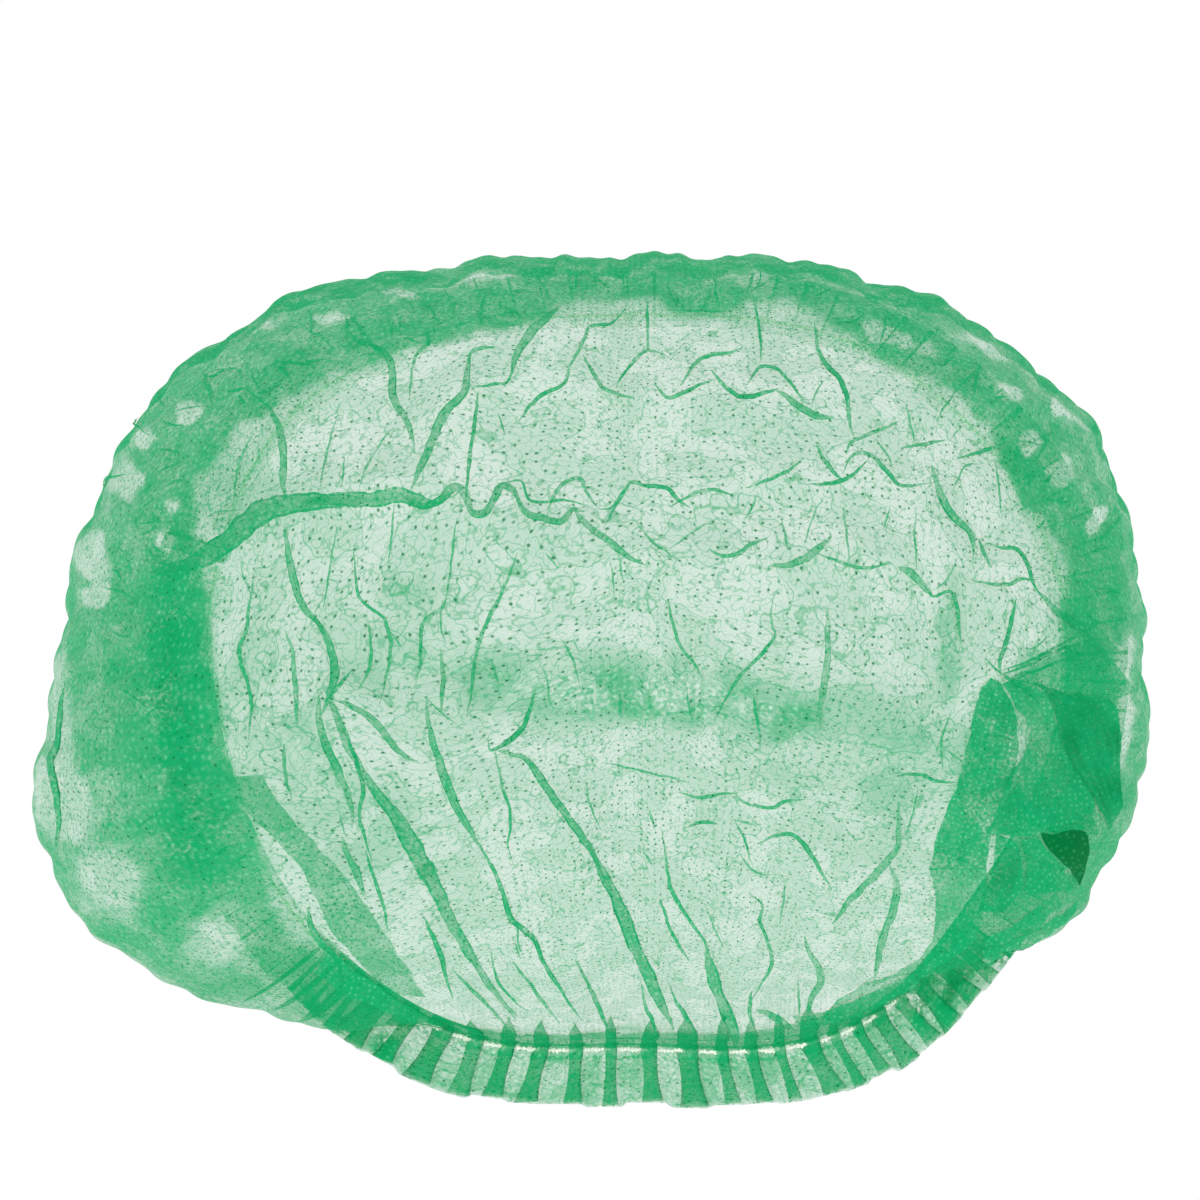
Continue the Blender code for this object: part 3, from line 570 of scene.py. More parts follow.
class ClothLook(bpy.types.PropertyGroup):
    """Looks of the non-woven cloth."""

    green: FloatVectorProperty(
        name="Green", default=(0.006, 0.37, 0.135), size=3, subtype="COLOR",
        description="Colour of the cloth's fibres",
    )
    thread_white: FloatVectorProperty(
        name="Thread white", default=(0.86, 0.90, 0.80), size=3, subtype="COLOR",
        description="Colour of the elastic thread",
    )
    clear_share: FloatProperty(
        name="Clear share", default=0.49, subtype="FACTOR",
        description="Share of the light that one layer of cloth lets straight through",
    )
    top_layers: FloatProperty(
        name="Top layers", default=1.08,
        description="Layers of cloth in the dome",
    )
    rim_layers: FloatProperty(
        name="Rim layers", default=1.05,
        description="Layers that the small gathers add along the back of the widest line",
    )
    gather_layers: FloatProperty(
        name="Gather layers", default=0.9,
        description="Layers that the gathers add to the dome over the ring",
    )
    ring_layers: FloatProperty(
        name="Ring layers", default=1.1,
        description="Layers of cloth gathered together in the crown's underside",
    )
    panel_layers: FloatProperty(
        name="Panel layers", default=2.0,
        description="Layers of cloth in the pleated edge between its pleats",
    )
    least_layers: FloatProperty(
        name="Least layers", default=0.42, min=0.0,
        description="Layers left wherever the ring's underside and the hidden pleats are thinnest",
    )
    hidden_layers: FloatProperty(
        name="Hidden layers", default=0.9,
        description="Layers of cloth in the pleated edge where it lies under the crown",
    )
    bond_pitch: FloatProperty(
        name="Bond pitch", default=0.0017, subtype="DISTANCE",
        description="Distance between the bond points pressed into the cloth",
    )
    fibre_spacing: FloatProperty(
        name="Fibre spacing", default=0.0019, subtype="DISTANCE",
        description="Mean distance between the fibres that show",
    )
    blotch_size: FloatProperty(
        name="Blotch size", default=0.0110, subtype="DISTANCE",
        description="Size of the thicker and thinner areas of the web",
    )


class StageForm(bpy.types.PropertyGroup):
    """The camera's place and the studio."""

    sight_elevation: FloatProperty(
        name="Sight elevation", default=62.0,
        description="Angle of the camera above the floor, in degrees",
    )
    camera_distance: FloatProperty(
        name="Camera distance", default=3.2, subtype="DISTANCE",
        description="Distance of the camera from the frame's middle",
    )
    frame_width: FloatProperty(
        name="Frame width", default=0.3055, subtype="DISTANCE",
        description="Width of the picture at the cap",
    )
    frame_pixels: FloatProperty(
        name="Frame pixels", default=1200.0,
        description="Width of the photograph in pixels",
    )
    opening_across: FloatProperty(
        name="Opening across", default=637.0,
        description="Photograph pixel across at the opening's middle",
    )
    opening_down: FloatProperty(
        name="Opening down", default=674.5,
        description="Photograph pixel down at the opening's middle",
    )
    floor_side: FloatProperty(
        name="Floor side", default=12.0, subtype="DISTANCE",
        description="Side of the floor",
    )


def smooth_step(low, high, value):
    """Values carried smoothly from 0 at a low end to 1 at a high end."""
    share = np.clip((value - low) / (high - low), 0.0, 1.0)
    return share * share * (3.0 - 2.0 * share)


def read_ring(rows, azimuth):
    """Share at each azimuth, read smoothly from a closed table of azimuths and shares."""
    places, shares = np.array(rows).T
    x = np.concatenate((places[-2:] - 360.0, places, places[:2] + 360.0))
    y = np.concatenate((shares[-2:], shares, shares[:2]))
    place = np.mod(azimuth, 360.0)
    index = np.searchsorted(x, place, side="right") - 1
    x0, x1, x2, x3 = (x[index + step] for step in (-1, 0, 1, 2))
    y0, y1, y2, y3 = (y[index + step] for step in (-1, 0, 1, 2))
    span = x2 - x1
    t = (place - x1) / span
    slope_start = (y2 - y0) / (x2 - x0) * span
    slope_end = (y3 - y1) / (x3 - x1) * span
    return (
        y1 * (2.0 * t**3 - 3.0 * t**2 + 1.0)
        + slope_start * (t**3 - 2.0 * t**2 + t)
        + y2 * (3.0 * t**2 - 2.0 * t**3)
        + slope_end * (t**3 - t**2)
    )


def elastic_radius(form, azimuth):
    """Distance of the elastic line from the middle of the opening."""
    return form.opening_radius * read_ring(ELASTIC_ROWS, azimuth)


def bulge_radius(form, azimuth):
    """Distance of the crown's widest line from the middle of the opening."""
    turn = np.radians(azimuth)
    swing = sum(share * np.sin(waves * turn + phase) for waves, phase, share in SCALLOP_WAVES)
    reach = form.overhang * np.maximum(LEAST_REACH, read_ring(OVERHANG_ROWS, azimuth))
    return elastic_radius(form, azimuth) - form.foot_inset + reach + form.scallop_depth * swing


def underside_point(form, azimuth, angle):
    """Radius and height on the quarter ellipse from the foot's top out to the widest line."""
    start = elastic_radius(form, azimuth) - form.foot_inset
    radius = start + (bulge_radius(form, azimuth) - start) * np.sin(angle)
    return radius, form.foot_height + (form.bulge_height - form.foot_height) * (1.0 - np.cos(angle))


def dome_point(form, azimuth, angle):
    """Radius and height on the dome, from the widest line up to the top."""
    height = form.bulge_height + (form.crown_height - form.bulge_height) * np.sin(angle)
    return bulge_radius(form, azimuth) * np.cos(angle), height


def in_plan(azimuth, radius, height):
    """Points in space, about the opening's middle, at radii and heights on azimuths."""
    turn = np.radians(azimuth)
    return np.stack((radius * np.cos(turn), radius * np.sin(turn), height), axis=-1)


def outward(form, azimuth, section, angle):
    """Outward directions of the profile at angles on one of its stretches."""
    low = section(form, azimuth, np.maximum(0.0, angle - ANGLE_STEP))
    high = section(form, azimuth, np.minimum(math.pi / 2.0, angle + ANGLE_STEP))
    run = np.stack((high[0] - low[0], high[1] - low[1]))
    run = run / np.maximum(np.hypot(run[0], run[1]), 1e-12)
    return in_plan(azimuth, run[1], -run[0])


def gap_to(places, start, end):
    """Distances of flat places from a straight line, and the shares along it where they are nearest."""
    run = end - start
    share = np.clip((places - start) @ run / (run @ run), 0.0, 1.0)
    return np.linalg.norm(places - start - share[:, None] * run, axis=1), share


def fold_rise(form, points):
    """Height of the main folds over the smooth dome at points about the opening's middle."""
    tilt = math.radians(form.fold_sight)
    seen = np.stack((points[:, 0], points[:, 1] * math.sin(tilt) + points[:, 2] * math.cos(tilt)), axis=-1)
    total = np.zeros(len(points))
    for *bends, breadth, rise in FOLDS:
        bends = np.array(bends) * form.opening_radius
        best = np.full(len(points), np.inf)
        along = np.zeros(len(points))
        for number in (0, 1):
            gap, share = gap_to(seen, bends[number], bends[number + 1])
            nearer = gap < best
            best = np.where(nearer, gap, best)
            along = np.where(nearer, (number + share) / 2.0, along)
        taper = np.sin(math.pi * (0.15 + 0.7 * along))
        total += form.fold_rise * rise * taper * np.exp(-((best / (breadth * form.opening_radius)) ** 2))
    return total


def noise_at(places, size, seed):
    """Smooth irregular values from about -1 to 1 at places, flat or in space, with waves of a size."""
    shift = Vector((seed * 13.7, seed * 5.3, seed * 9.1))
    flat = (0.0,) if places.shape[1] == 2 else ()
    return np.array([noise.noise(Vector((*place, *flat)) / size + shift) for place in places])


def noises(places, seed, waves):
    """Sum of irregular values at places, from the strength, size and seed's step of each."""
    return sum(strength * noise_at(places, size, seed + step) for strength, size, step in waves)


def linked(name, data):
    """Object of some data, linked to the scene."""
    made = bpy.data.objects.new(name, data)
    bpy.context.scene.collection.objects.link(made)
    return made


def sheet_object(name, places, faces, maps, density, material):
    """Object of one sheet of cloth, with its own flat coordinates and its density as an attribute."""
    mesh = bpy.data.meshes.new(name)
    mesh.from_pydata(places.tolist(), [], faces.tolist())
    uv = mesh.uv_layers.new(name="cloth_map")
    corner = np.empty(len(mesh.loops), dtype=np.int64)
    mesh.loops.foreach_get("vertex_index", corner)
    uv.data.foreach_set("uv", maps[corner].astype(np.float32).ravel())
    layer = mesh.attributes.new("cloth_density", "FLOAT", "POINT")
    layer.data.foreach_set("value", np.maximum(LEAST_DENSITY, density).astype(np.float32))
    mesh.materials.append(material)
    mesh.shade_smooth()
    return linked(name, mesh)


def grid_faces(rows, columns, closed=False):
    """Corner numbers of the quads of a grid of points, closed round its columns or not."""
    number = np.arange(rows * columns).reshape(rows, columns)
    if closed:
        number = np.concatenate((number, number[:, :1]), axis=1)
    corners = (number[:-1, :-1], number[:-1, 1:], number[1:, 1:], number[1:, :-1])
    return np.stack(corners, axis=-1).reshape(-1, 4)


def sight_of(stage):
    """The camera's place and directions, the point that it looks at, and a pixel's size there."""
    tilt = math.radians(stage.sight_elevation)
    pixel = stage.frame_width / stage.frame_pixels
    across = (stage.frame_pixels / 2.0 - stage.opening_across) * pixel
    rise = (stage.opening_down - stage.frame_pixels / 2.0) * pixel
    target = OPENING_MIDDLE + np.array([across, rise / math.sin(tilt), 0.0])
    right = np.array([1.0, 0.0, 0.0])
    up = np.array([0.0, math.sin(tilt), math.cos(tilt)])
    ahead = np.array([0.0, math.cos(tilt), -math.sin(tilt)])
    return Sight(target - ahead * stage.camera_distance, target, right, up, ahead, pixel)


def pixels_of(stage, points):
    """Pixels of the photograph at which points in space are seen."""
    sight = sight_of(stage)
    offset = points - sight.eye
    scale = stage.camera_distance / (offset @ sight.ahead) / sight.pixel
    half = stage.frame_pixels / 2.0
    return np.stack((half + offset @ sight.right * scale, half - offset @ sight.up * scale), axis=-1)


def haze_at(stage, seed, piece, points):
    """Layers of cloth that the hazes add to a piece at points, with irregular edges."""
    seen = pixels_of(stage, points)
    seen = seen + np.stack([noises(seen, seed, waves) for waves in HAZE_SWAYS], axis=-1)
    total = np.zeros(len(points))
    for layers, middle, reach, degrees, edge in HAZES[piece]:
        turn = math.radians(degrees)
        offset = seen - np.array(middle)
        across = (offset[:, 0] * math.cos(turn) - offset[:, 1] * math.sin(turn)) / reach[0]
        down = (offset[:, 0] * math.sin(turn) + offset[:, 1] * math.cos(turn)) / reach[1]
        total += layers / (1.0 + np.exp(np.clip(edge * (np.hypot(across, down) - 1.0), -30.0, 30.0)))
    return total


def inside_ring(stage, seed, points):
    """How far points are seen inside the inner edge of the ring, from 0 to 1."""
    seen = pixels_of(stage, points)
    corners = np.array(RING_EDGE, dtype=float).reshape(-1, 2)
    nearest = np.full(len(seen), np.inf)
    crossings = np.zeros(len(seen), dtype=int)
    for start, end in zip(corners, np.roll(corners, -1, axis=0)):
        nearest = np.minimum(nearest, gap_to(seen, start, end)[0])
        spans = (start[1] > seen[:, 1]) != (end[1] > seen[:, 1])
        if start[1] != end[1]:
            meets = start[0] + (seen[:, 1] - start[1]) * (end[0] - start[0]) / (end[1] - start[1])
            crossings += spans & (seen[:, 0] < meets)
    depth = np.where(crossings % 2 == 1, nearest, -nearest)
    return smooth_step(*RING_FADE, depth + noises(seen, seed, RING_SWAY))


def band_share(form, azimuth):
    """How far azimuths lie in the open band of pleats at the front, from 0 to 1."""
    azimuth = np.mod(azimuth, 360.0)
    started = smooth_step(form.band_start - BAND_BLEND, form.band_start + BAND_BLEND, azimuth)
    return started * (1.0 - smooth_step(form.band_end - BAND_BLEND, form.band_end + BAND_BLEND, azimuth))


def crown_top_points(form, look, stage):
    """Points, quads, map and layers of the dome, on a square grid drawn out to a disc."""
    side = np.linspace(-1.0, 1.0, form.top_divisions + 1)
    u, v = np.meshgrid(side, side)
    x = (u * np.sqrt(1.0 - v * v / 2.0)).ravel()
    y = (v * np.sqrt(1.0 - u * u / 2.0)).ravel()
    reach = np.minimum(1.0, np.hypot(x, y))
    azimuth = np.degrees(np.arctan2(y, x))
    angle = math.pi / 2.0 * (1.0 - reach)

    smooth = in_plan(azimuth, *dome_point(form, azimuth, angle))
    crinkle = noises(smooth * CRINKLE_STRETCH, form.seed, CRINKLES)
    rise = fold_rise(form, smooth) + form.crinkle_rise * crinkle
    rise = rise * np.minimum(1.0, np.degrees(angle) / FOLD_FADE)
    points = smooth + outward(form, azimuth, dome_point, angle) * rise[:, None] + OPENING_MIDDLE
    length = form.opening_radius * (1.25 * reach + 0.12 * reach**3)
    turn = np.radians(azimuth)
    flat = np.stack((length * np.cos(turn), length * np.sin(turn)), axis=-1)

    # Thinner at the rim, thicker along the back, and thicker again over the ring
    band = band_share(form, azimuth)
    rim = np.maximum(smooth_step(0.0, 0.02, 1.0 - reach), band)
    behind = smooth_step(0.0, 0.35, np.sin(turn)) * smooth_step(20.0, 9.0, np.degrees(angle))
    mottle = 1.0 + noises(points, form.seed, BACK_MOTTLE)
    density = look.top_layers * (RIM_CLOTH + (1.0 - RIM_CLOTH) * rim)
    density += look.rim_layers * behind * mottle * (RIM_GATHERS + (1.0 - RIM_GATHERS) * rim)
    density += haze_at(stage, form.seed, "top", points) * rim
    gathered = (1.0 - inside_ring(stage, form.seed, points)) * (1.0 - band)
    thinner = np.minimum(0.0, haze_at(stage, form.seed, "side", points))
    density += np.maximum(0.0, look.gather_layers + thinner) * gathered
    return points, grid_faces(len(side), len(side)), flat, density


def path_through(points):
    """Places along a smooth curve through points given as numbers across and down in turn."""
    points = np.array(points, dtype=float).reshape(-1, 2)
    padded = np.vstack((2.0 * points[0] - points[1], points, 2.0 * points[-1] - points[-2]))
    places = []
    for p0, p1, p2, p3 in zip(padded, padded[1:], padded[2:], padded[3:]):
        count = max(2, round(float(np.linalg.norm(p2 - p1)) / PATH_STEP))
        for t in np.arange(count) / count:
            bend = (2.0 * p0 - 5.0 * p1 + 4.0 * p2 - p3) * t**2 + (3.0 * p1 - p0 - 3.0 * p2 + p3) * t**3
            places.append(0.5 * (2.0 * p1 + (p2 - p0) * t + bend))
    return np.array([*places, points[-1]])


def resampled(points, count):
    """A number of places, evenly spaced along a line of places."""
    gaps = np.linalg.norm(np.diff(points, axis=0), axis=1)
    along = np.concatenate(([0.0], np.cumsum(gaps)))
    want = np.linspace(0.0, along[-1], count)
    return np.stack([np.interp(want, along, points[:, axis]) for axis in (0, 1)], axis=-1)


def laid_on(stage, trees, place, lift):
    """Point of the nearest cloth behind a pixel of the photograph, a lift above it.

    A place just past the edge of the cloth is drawn in towards the middle until it lies on it.
    """
    sight = sight_of(stage)
    inward = np.array((stage.opening_across, stage.opening_down)) - place
    inward = inward / max(1.0, float(np.linalg.norm(inward)))
    for step in range(INWARD_STEPS):
        across, down = place + inward * (INWARD_STEP * step) - stage.frame_pixels / 2.0
        point = sight.target + (sight.right * across - sight.up * down) * sight.pixel
        ray = Vector(point - sight.eye).normalized()
        hits = [tree.ray_cast(Vector(sight.eye), ray) for tree in trees]
        hits = [hit for hit in hits if hit[0] is not None]
        if hits:
            spot, normal = min(hits, key=lambda hit: hit[3])[:2]
            return spot + (normal if normal.dot(ray) < 0.0 else -normal) * lift
    raise RuntimeError(f"no cloth is seen at pixel {place}")


def laid_rows(stage, trees, rows, lifts, turn):
    """Points, quads and map of rows of pixel places on the cloth, each row at its own lift."""
    points = [laid_on(stage, trees, place, lift) for row, lift in zip(rows, lifts) for place in row]
    spin = np.array([[math.cos(turn), math.sin(turn)], [-math.sin(turn), math.cos(turn)]])
    flat = rows.reshape(-1, 2) @ spin * (stage.frame_width / stage.frame_pixels) + turn
    return np.array(points), grid_faces(*rows.shape[:2])[:, ::-1], flat


def tapered(taper, along):
    """Share of a crease's full breadth at shares along its run."""
    if taper == "both":
        return np.sin(math.pi * np.clip(along, 0.0, 1.0)) ** 0.6
    if taper == "end":
        return np.sin(math.pi / 2.0 * (1.0 - along)) ** 0.6
    return 0.22 + 0.78 * (along if taper == "late" else 1.0 - along) ** 1.4


def crease_strip(stage, trees, crease, seed, lift):
    """Points, quads, map and layers of one crease, laid on the crown just above its surface."""
    section = next(section for section in CREASE_SECTIONS if crease.breadth > section.over)
    path = path_through(crease.points)
    run = np.gradient(path, axis=0)
    run /= np.maximum(np.linalg.norm(run, axis=1), 1e-9)[:, None]
    side = np.stack((-run[:, 1], run[:, 0]), axis=-1)
    along = np.linspace(0.0, 1.0, len(path))
    wobble = 1.0 + CREASE_WOBBLE * noise_at(path, 16.0, seed)
    breadth = section.slim * crease.breadth * tapered(crease.taper, along) * wobble
    half = np.maximum(LEAST_HALF, breadth / 2.0)
    path = path + side * (CREASE_SWAY * noise_at(path, 11.0, seed + 40))[:, None]
    rows = np.stack([path + side * (half * share)[:, None] for share in section.shares])
    lifts = [lift if abs(share) > 0.9 else lift + CREASE_SWELL for share in section.shares]
    fade = END_LAYERS + (1.0 - END_LAYERS) * np.sin(math.pi * np.clip(along, 0.02, 0.98)) ** 0.5
    layers = [
        crease.layers * section.deep * weight * fade
        * (1.0 + CREASE_WOBBLE * noise_at(path + 40.0 * lane, 13.0, seed + 60))
        for lane, weight in enumerate(section.weights)
    ]
    return *laid_rows(stage, trees, rows, lifts, seed * 1.7), np.concatenate(layers)


def ring_creases(seed):
    """Short pressed lines that run outwards across the ring of gathered cloth."""
    generator = np.random.default_rng(seed)
    corners = np.array((*RING_EDGE, *RING_EDGE[:2]), dtype=float).reshape(-1, 2)
    middle = corners[:-1].mean(axis=0)
    made = []
    for place in resampled(corners, RING_PLACES):
        out = (place - middle) / np.linalg.norm(place - middle)
        left, right = max(0.0, -out[0]), max(0.0, out[0])
        if place[1] > RING_FRONT or generator.random() > 0.5 + 0.5 * left:
            continue
        side = np.array([-out[1], out[0]])
        room = 10.0 + 84.0 * left**3 + 26.0 * right**3
        start = place + out * generator.uniform(0.0, room) + side * generator.uniform(-9.0, 9.0)
        reach = generator.uniform(*RING_LENGTHS)
        run = out * generator.uniform(0.4, 1.0) + side * generator.uniform(-0.7, 0.7)
        half = start + run * reach * 0.5 + side * generator.uniform(-4.0, 4.0)
        breadth = generator.uniform(*RING_BREADTHS)
        layers = generator.uniform(*RING_LAYERS)
        made.append(Crease(breadth, layers, (*start, *half, *(start + run * reach))))
    return made


def flap_sheet(stage, trees, flap, seed, lift):
    """Points, quads, map and layers of one broad fold between its two edges."""
    thickness, *edges = flap
    edges = [path_through(edge) for edge in edges]
    count = max(len(edge) for edge in edges)
    first, second = (resampled(edge, count) for edge in edges)
    for edge, turn in ((first, 0), (second, 2)):
        for size, reach in ((16.0, 2.0), (6.0, 1.3)):
            sway = [noise_at(edge, size, seed + turn + axis) for axis in (0, 1)]
            edge += reach * np.stack(sway, axis=-1)
    gap = float(np.linalg.norm(second - first, axis=1).max())
    inner = np.linspace(0.0, 1.0, max(2, round(gap / 6.0)) + 1)
    hem = min(0.08, 2.0 / gap)
    shares = np.unique(np.concatenate((inner, (hem, 1.0 - hem))))
    rows = np.stack([first + (second - first) * share for share in shares])
    places = rows.reshape(-1, 2)
    across = np.repeat(shares * gap, count)
    along = np.tile(np.arange(count) * PATH_STEP, len(shares))
    streaks = noise_at(np.stack((across, 0.16 * along), axis=-1), 6.5, seed + 5)
    layers = thickness * (1.0 + 0.25 * noise_at(places, 30.0, seed + 4) + 0.24 * streaks)
    edge = np.repeat(np.where((shares < 0.01) | (shares > 0.99), 1.0, 0.0), count)
    layers = layers * (1.0 - edge * (0.15 + 0.45 * noise_at(places, 9.0, seed + 6)))
    points, faces, flat = laid_rows(stage, trees, rows, [lift] * len(rows), seed * 1.7)
    return points, faces, FLAP_GRAIN * flat, layers


def pleat_columns(form, stage):
    """Azimuth, pleat number, share across its pleat and pleat span of every column round the cap.

    The pleats run anticlockwise from the left weld by the front to the right weld and back.
    """
    fine = np.linspace(form.left_weld, form.right_weld, 2000)
    pixel = stage.frame_width / stage.frame_pixels
    line = in_plan(fine, elastic_radius(form, fine), np.full(len(fine), form.elastic_level))
    front = np.interp(FRONT_PLEATS, np.maximum.accumulate(stage.opening_across + line[:, 0] / pixel), fine)
    step = math.degrees(form.pleat_pitch / form.opening_radius)
    before = np.arange(form.left_weld + step * WELD_ROOM, front[0] - step * 0.45, step * LEFT_ROOM)
    after = np.arange(front[-1] + step * 0.45, form.right_weld - step * 0.3, step * RIGHT_ROOM)
    last = form.left_weld + 360.0 - step * 0.4
    back = np.arange(form.right_weld + step * WELD_ROOM, last, step * BACK_ROOM)
    centres = np.concatenate((before, front, after, back))
    generator = np.random.default_rng(form.seed)
    centres = centres + generator.uniform(-0.12, 0.12, len(centres)) * step * 0.5
    start = (centres + np.roll(centres, 1)) / 2.0
    start[0] -= 180.0
    end = np.roll(start, -1)
    end[-1] += 360.0
    share = np.array(PLEAT_COLUMNS)
    azimuth = start[:, None] + (end - start)[:, None] * share[None, :]
    number = np.repeat(np.arange(len(centres)), len(share))
    return azimuth.ravel(), number, np.tile(share, len(centres)), np.repeat(end - start, len(share))


def pleated(columns, seed, strength, overlap, slant):
    """Azimuths and lifts of one row of columns once their pleats are folded over."""
    azimuth, number, share, span = columns
    generator = np.random.default_rng(seed)
    count = number.max() + 1
    wide = (overlap * (1.0 + PLEAT_SPREAD * generator.uniform(-1.0, 1.0, count)))[number]
    lean = (slant * generator.uniform(*LEAN_RANGE, count))[number]
    low, high = PLEAT_TURN, 1.0 - PLEAT_TURN
    near = 0.5 + wide / 2.0
    turned = near - (share - low) / (high - low) * wide
    after = 1.0 - (1.0 - share) / low * near
    folded = np.where(share <= low, share / low * near, np.where(share >= high, after, turned))
    warped = share + strength * (folded - share) + lean * (1.0 - np.abs(2.0 * share - 1.0))
    lift = np.interp(share, PLEAT_LIFT_FROM, PLEAT_LIFTS) * strength
    return azimuth + (warped - share) * span, lift


def gather_map(form, azimuth, reach):
    """Flat coordinates of gathered cloth, at azimuths and at a distance from the elastic."""
    fine = np.arange(0.0, 900.0, 0.5)
    crowding = 1.12 + 0.48 * band_share(form, fine)
    along = np.concatenate(([0.0], np.cumsum(crowding[:-1] * math.radians(0.5))))
    run = np.interp(azimuth, fine, along) * form.opening_radius
    return np.stack((run, np.full(len(run), reach)), axis=-1)


def cleared(form, stage, points, band):
    """Share of the hidden gathers' layers that is left at points, few where they lie inside the ring."""
    inside = inside_ring(stage, form.seed, points)
    return 1.0 - RING_CLEARING * inside * np.tile(1.0 - band, len(points) // len(band))


def crown_side(form, look, stage):
    """Points, quads, map and layers of the crown's foot, gathers and underside, up to the widest line."""
    columns = pleat_columns(form, stage)
    at_rest = columns[0]
    band = band_share(form, at_rest)
    round_line = in_plan(at_rest, np.ones(len(at_rest)), np.zeros(len(at_rest))) * form.opening_radius
    streaks = noises(round_line, form.seed, SIDE_STREAKS)
    rows, maps, layers = [], [], []
    for level in FOOT_LEVELS:
        strength = FOOT_PLEATS + (1.0 - FOOT_PLEATS) * band
        azimuth, lift = pleated(columns, form.seed, strength, form.pleat_overlap, 0.0)
        radius = elastic_radius(form, azimuth) - form.foot_inset + lift * form.pleat_layer - SIDE_INSET
        height = form.foot_base + (form.foot_height - form.foot_base) * level
        rows.append(in_plan(azimuth, radius, np.full(len(azimuth), height)))
        maps.append(gather_map(form, at_rest, height))
        layers.append(look.ring_layers * (1.0 - band) + BAND_LAYERS * band)
    for share in np.linspace(0.0, 1.0, UNDERSIDE_STEPS + 1):
        rest = FOOT_PLEATS * (1.0 - smooth_step(0.0, 0.40, share))
        strength = band * (1.0 - smooth_step(0.34, 0.90, share)) + (1.0 - band) * rest
        slant = 0.12 * math.sin(math.pi * share)
        azimuth, lift = pleated(columns, form.seed, strength, form.pleat_overlap, slant)
        angles = np.full(len(azimuth), math.pi / 2.0 * share)
        point = in_plan(azimuth, *underside_point(form, azimuth, angles))
        soft = SOFT_RISE * math.sin(math.pi * min(1.0, share * 1.3)) * streaks * (1.0 - 0.6 * band)
        rise = lift * form.pleat_layer + soft - SIDE_INSET * (1.0 - share)
        point = point + outward(form, azimuth, underside_point, angles) * rise[:, None]
        rows.append(point)
        maps.append(gather_map(form, at_rest, form.foot_height + share * UNDERSIDE_RUN))
        front = BAND_LAYERS - 0.9 * smooth_step(0.15, 0.50, share)
        thick = (1.0 - band) * look.ring_layers + band * front
        thick *= 1.0 + (0.22 * streaks + noises(point, form.seed, SIDE_MOTTLE)) * (1.0 - band)
        layers.append(thick * (1.0 - 0.45 * smooth_step(0.95, 1.0, share) * (1.0 - band)))
    points = np.concatenate(rows) + OPENING_MIDDLE
    faces = grid_faces(len(rows), len(at_rest), True)[:, ::-1]
    layers = np.concatenate(layers) + haze_at(stage, form.seed, "side", points)
    layers = np.maximum(look.least_layers, layers * cleared(form, stage, points, band))
    return points, faces, np.concatenate(maps), layers


def edge_sheet(form, look, stage, columns, waves):
    """Points, quads, map and layers of one half of the pleated edge, on its own columns."""
    folded = np.interp(columns[2], (0.10, 0.20, 0.80, 0.90), (0.0, 1.0, 1.0, 0.0))
    band = band_share(form, columns[0])
    rows, maps, layers = [], [], []
    for reach in (*EDGE_REACHES, form.ruffle_width):
        share = (reach + form.flange_inset) / (form.ruffle_width + form.flange_inset)
        overlap = form.pleat_overlap * (0.90 + 0.40 * (2.0 * share - 1.0) ** 2)
        strength = EDGE_PLEATS + (1.0 - EDGE_PLEATS) * band
        azimuth, lift = pleated(columns, form.seed, strength, overlap, 0.20 * share)
        hump = HUMP_RISE * np.minimum(1.0, lift / 1.2) * math.exp(-((reach / HUMP_REACH) ** 2))
        radius = elastic_radius(form, azimuth) + reach * (1.0 + 0.05 * waves * share)
        height = EDGE_BASE + lift * form.pleat_layer * (0.7 + 0.6 * share) + hump
        rows.append(in_plan(azimuth, radius, height))
        maps.append(gather_map(form, columns[0], EDGE_MAP_START + reach))
        dark_line = 1.0 + DARK_LINE_LAYERS * math.exp(-(((reach - DARK_LINE_PLACE) / DARK_LINE_REACH) ** 2))
        rim = 1.0 - 0.5 * smooth_step(0.94, 1.0, share)
        shown = (look.panel_layers - 0.45 * folded) * dark_line * rim
        layers.append(shown * band + look.hidden_layers * (1.0 - band))
    points = np.concatenate(rows) + OPENING_MIDDLE
    layers = np.maximum(look.least_layers, np.concatenate(layers) * cleared(form, stage, points, band))
    layers = layers + haze_at(stage, form.seed, "edge", points)
    return points, grid_faces(len(rows), len(band))[:, ::-1], np.concatenate(maps), layers


def fed(tree, made, sockets):
    """A node whose sockets, by name or number, are given plain values or linked to other sockets."""
    for name, value in sockets.items():
        if isinstance(value, bpy.types.NodeSocket):
            tree.links.new(value, made.inputs[name])
        elif value is not None:
            made.inputs[name].default_value = value
    return made


def node(tree, kind, sockets=None, **values):
    """Node in a tree, with its plain properties and its sockets set."""
    made = tree.nodes.new(kind)
    for name, value in values.items():
        setattr(made, name, value)
    return fed(tree, made, sockets or {})


def math_node(tree, operation, first, second=None, clamp=False):
    """Math node on values or sockets, and its result."""
    sockets = {0: first, 1: second}
    return node(tree, "ShaderNodeMath", sockets, operation=operation, use_clamp=clamp).outputs[0]


def ramp(tree, value, low, high, start=0.0, end=1.0):
    """Value carried smoothly from one range to another."""
    sockets = {"Value": value, "From Min": low, "From Max": high, "To Min": start, "To Max": end}
    return node(tree, "ShaderNodeMapRange", sockets, interpolation_type="SMOOTHSTEP").outputs["Result"]


def flat_noise(tree, place, scale, detail):
    """Flat noise over a place, at a scale given as a value or a socket, and its value."""
    sockets = {"Vector": place, "Scale": scale, "Detail": detail}
    return node(tree, "ShaderNodeTexNoise", sockets, noise_dimensions="2D").outputs["Fac"]


def ridge(tree, value, thin):
    """Thin lines where a noise passes its middle value."""
    gap = math_node(tree, "ABSOLUTE", math_node(tree, "SUBTRACT", value, 0.5))
    return ramp(tree, gap, 0.0, thin, 1.0, 0.0)


